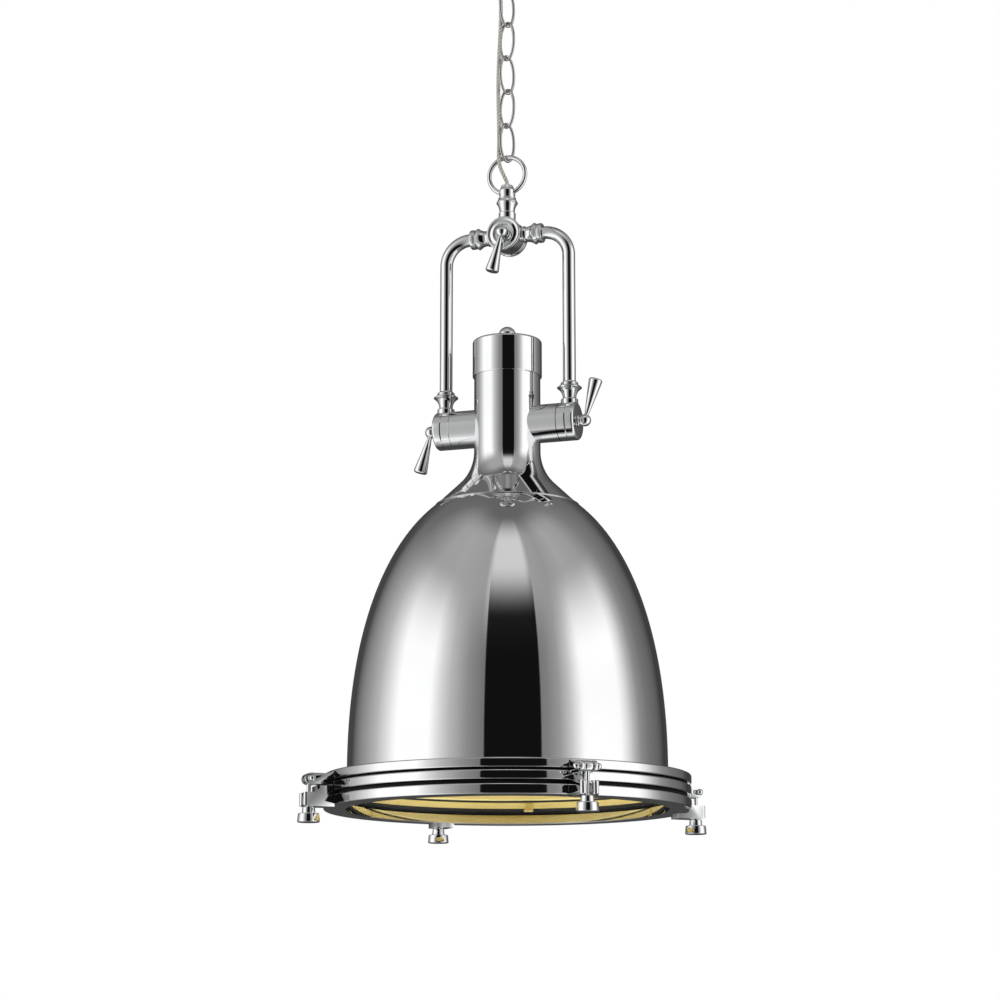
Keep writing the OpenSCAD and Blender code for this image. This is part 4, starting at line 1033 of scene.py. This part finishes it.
for i in range(CLAMP_COUNT):
    make_bolt(i)
print("swing bolts:", CLAMP_COUNT)

# %% [markdown]
# The ears, the forked lugs and the hardware inside keep the outlines of their solids. Their meshes come as loose
# triangles, so a copy is merged, its flat faces are joined again and its edges are eased with a small bevel, as
# filed metal has.

# %% Eased copies of solids
LOOSE, FLAT, CRISP = 2e-6, radians(0.4), radians(40)


def eased_copy(name, node, material, ease=0.0):
    bm = bmesh.new()
    bm.from_mesh(frame["nodes"][node].data)
    bmesh.ops.remove_doubles(bm, verts=bm.verts, dist=LOOSE)
    bmesh.ops.dissolve_limit(bm, angle_limit=FLAT, verts=bm.verts, edges=bm.edges)
    if ease:
        bm.normal_update()
        crisp = [e for e in bm.edges if len(e.link_faces) == 2 and e.calc_face_angle(0) > CRISP]
        bmesh.ops.bevel(bm, geom=crisp, offset=ease * MM, segments=2, profile=0.5, affect="EDGES", clamp_overlap=True)
    return placed(name, node, bm, [material])


EASED = [
    ("ears", "hinge_lugs", CHROME, 0.35), ("forks", "fork_lugs", CHROME, 0.5),
    ("bosses", "trunnion_bosses", CHROME, 0), ("clips", "lens_clips", GOLD, 0.2),
    ("cup_shell", "canopy", CHROME, 0), ("loop_and_boss", "ceiling_loop", CHROME, 0),
    ("strap_bar", "mounting_bar", ZINC, 0.3), ("nipple", "hanger_nipple", ZINC, 0),
    ("lock_nuts", "nipple_nuts", ZINC, 0.3), ("centre_rod", "rod", ZINC, 0),
    ("rod_lock_nut", "rod_nut", ZINC, 0.3), ("gland", "cable_gland", PLASTIC, 0.2),
    ("terminals", "terminal_block", PLASTIC, 0.3), ("bush", "cable_bush", PLASTIC, 0),
    ("holder_lid", "holder_cap", PORCELAIN, 0), ("holder_shell", "lampholder", PORCELAIN, 0),
    ("bulb_base", "bulb_screw_cap", BRASS, 0), ("bulb", "bulb_glass", FROST, 0),
]
for name, node, material, ease in EASED:
    eased_copy(name, node, material, ease)
print("eased copies:", len(EASED))

# %% [markdown]
# Bright metal shows the room, so the studio is built for its reflections: a wide white panel on each side of the
# camera, a dark gap behind it, a dark back wall and a grey ceiling with a pale strip over the camera. The world
# holds them as brightness round the horizon, one ramp for the walls and one for the ceiling, and fades between the
# two with height. The eye, and what passes through glass, sees plain white behind the lamp. The floor is open from
# its underside, so that the lamp can be looked at from below.

# %% Room in the world
WHITE = (1, 1, 1, 1)
PANEL_STRENGTH = 1.33
WALL_STOPS = [
    (-180, 0.05), (-148, 0.05), (-135, 0.18), (-120, 0.31), (-108, 0.45), (-96, 0.72), (-86, 1.0), (-58, 1.0),
    (-50, 0.69), (-42, 0.47), (-29, 0.26), (-18, 0.17), (20, 0.17), (29, 0.21), (38, 0.32), (46, 0.54), (56, 0.97),
    (60, 1.0), (88, 1.0), (95, 0.75), (102, 0.46), (110, 0.26), (121, 0.17), (138, 0.11), (150, 0.04), (180, 0.05),
]
CEILING_STOPS = [
    (-180, 0.10), (-130, 0.14), (-105, 0.24), (-80, 0.34), (-55, 0.36), (-21, 0.33), (-15, 0.60), (19, 0.60),
    (25, 0.33), (40, 0.30), (63, 0.36), (88, 0.31), (114, 0.19), (140, 0.14), (180, 0.10),
]
CEILING_FROM, CEILING_TO = 22, 48
ZENITH_GREY, ZENITH_FROM, ZENITH_TO = 0.12, 64, 84
NADIR_GREY, NADIR_FROM, NADIR_TO = 0.30, 52, 78
GAP_MIDDLE, GAP_HALF, GAP_EDGE, GAP_FROM, GAP_TO, GAP_DEPTH = 3.7, 20.3, 0.5, 34, 54, 0.97


def add_step(tree, value, low, high):
    """Goes smoothly from 0 to 1 between two angles in degrees."""
    inputs = {"Value": value, "From Min": radians(low), "From Max": radians(high)}
    return add_node(tree, "ShaderNodeMapRange", inputs, "Result", interpolation_type="SMOOTHSTEP")


def add_fade(tree, start, end, share):
    """Mixes two brightnesses."""
    return add_math(tree, "MULTIPLY_ADD", add_math(tree, "SUBTRACT", end, start), share, start)


def add_round(tree, share, stops):
    return add_ramp(tree, share, [(0.5 + angle / 360, (value, value, value)) for angle, value in stops])


def make_world():
    world = bpy.data.worlds.new("studio")
    bpy.context.scene.world = world
    world.use_nodes = True
    tree = world.node_tree
    where = add_node(tree, "ShaderNodeTexCoord", out="Generated")
    turn = (0, 0, pi / 2 - CAMERA_AZIMUTH)
    split = add_split(tree, add_node(tree, "ShaderNodeMapping", {"Vector": where, "Rotation": turn}))
    angle = add_math(tree, "ARCTAN2", split["Y"], split["X"])
    height = add_math(tree, "ARCSINE", split["Z"])
    depth = add_math(tree, "MULTIPLY", height, -1.0)
    share = add_math(tree, "MULTIPLY_ADD", angle, 0.5 / pi, 0.5)
    walls, ceiling = (add_round(tree, share, stops) for stops in (WALL_STOPS, CEILING_STOPS))
    room = add_fade(tree, walls, ceiling, add_step(tree, height, CEILING_FROM, CEILING_TO))
    room = add_fade(tree, room, ZENITH_GREY, add_step(tree, height, ZENITH_FROM, ZENITH_TO))
    open_low = add_step(tree, depth, NADIR_FROM, NADIR_TO)
    room = add_fade(tree, room, NADIR_GREY, open_low)
    aside = add_math(tree, "ABSOLUTE", add_math(tree, "SUBTRACT", angle, radians(GAP_MIDDLE)))
    open_side = add_step(tree, aside, GAP_HALF - GAP_EDGE, GAP_HALF + GAP_EDGE)
    open_top = add_step(tree, height, GAP_FROM, GAP_TO)
    light = add_math(tree, "MAXIMUM", open_side, add_math(tree, "MAXIMUM", open_top, open_low))
    shade = add_math(tree, "MULTIPLY_ADD", light, GAP_DEPTH, 1 - GAP_DEPTH)
    room = add_math(tree, "MULTIPLY", add_math(tree, "MULTIPLY", room, shade), PANEL_STRENGTH)
    seen = tree.nodes.new("ShaderNodeLightPath").outputs
    plain = add_math(tree, "MAXIMUM", seen["Is Camera Ray"], seen["Is Transmission Ray"])
    inputs = {"Factor": plain, "A": room, "B": WHITE}
    mix = add_node(tree, "ShaderNodeMix", inputs, "Result", data_type="RGBA")
    feed(tree, tree.nodes["Background"].inputs["Color"], mix)


make_world()
print("room:", len(WALL_STOPS), "stops round the walls,", len(CEILING_STOPS), "round the ceiling")

# %% Floor
FLOOR_Z, FLOOR_SIZE, FLOOR_CELLS, FLOOR_GLOW = -1.6, 8, 8, 0.5
FLOOR_STOPS = [(DARK_AT, (0.80, 0.80, 0.80)), (LIGHT_AT, (0.84, 0.84, 0.84))]


def make_floor():
    bm = bmesh.new()
    bmesh.ops.create_grid(bm, x_segments=FLOOR_CELLS, y_segments=FLOOR_CELLS, size=FLOOR_SIZE)
    bmesh.ops.translate(bm, verts=bm.verts, vec=(0, 0, FLOOR_Z))
    material, tree, surface = new_finish("pale_floor", {"Roughness": 0.8, "Emission Color": WHITE})
    feed(tree, surface["Base Color"], add_ramp(tree, add_noise(tree, 2), FLOOR_STOPS))
    seen = add_node(tree, "ShaderNodeLightPath", out="Is Camera Ray")
    feed(tree, surface["Emission Strength"], add_math(tree, "MULTIPLY", seen, FLOOR_GLOW))
    under = add_node(tree, "ShaderNodeNewGeometry", out="Backfacing")
    paint, clear = tree.nodes["Principled BSDF"].outputs["BSDF"], add_node(tree, "ShaderNodeBsdfTransparent")
    mix = add_node(tree, "ShaderNodeMixShader", {"Fac": under, 1: paint, 2: clear})
    feed(tree, tree.nodes["Material Output"].inputs["Surface"], mix)
    floor = finish_piece("floor", bm, [material])
    floor.visible_glossy = False


make_floor()
print("floor at", FLOOR_Z, "m")


# %% Lamps
def add_panel(name, azimuth, elevation, distance, size, power, aim=(0, 0, -0.75)):
    data = bpy.data.lights.new(name, "AREA")
    data.size = size
    data.energy = power
    lamp = show(name, data)
    aim = Vector(aim)
    a, e = radians(azimuth), radians(elevation)
    lamp.location = aim + distance * Vector((sin(a) * cos(e), -cos(a) * cos(e), sin(e)))
    lamp.rotation_euler = (aim - lamp.location).to_track_quat("-Z", "Y").to_euler()
    lamp.visible_glossy = False


add_panel("left_panel", azimuth=-45, elevation=25, distance=3, size=1.6, power=30)
add_panel("right_panel", azimuth=75, elevation=25, distance=3, size=1.6, power=30)
add_panel("low_panel", azimuth=19, elevation=-80, distance=0.5, size=0.5, power=6, aim=(0, 0, LIP_Z))
bpy.context.scene.view_settings.view_transform = "Standard"
print("lamps:", *(lamp.name for lamp in bpy.data.lights))
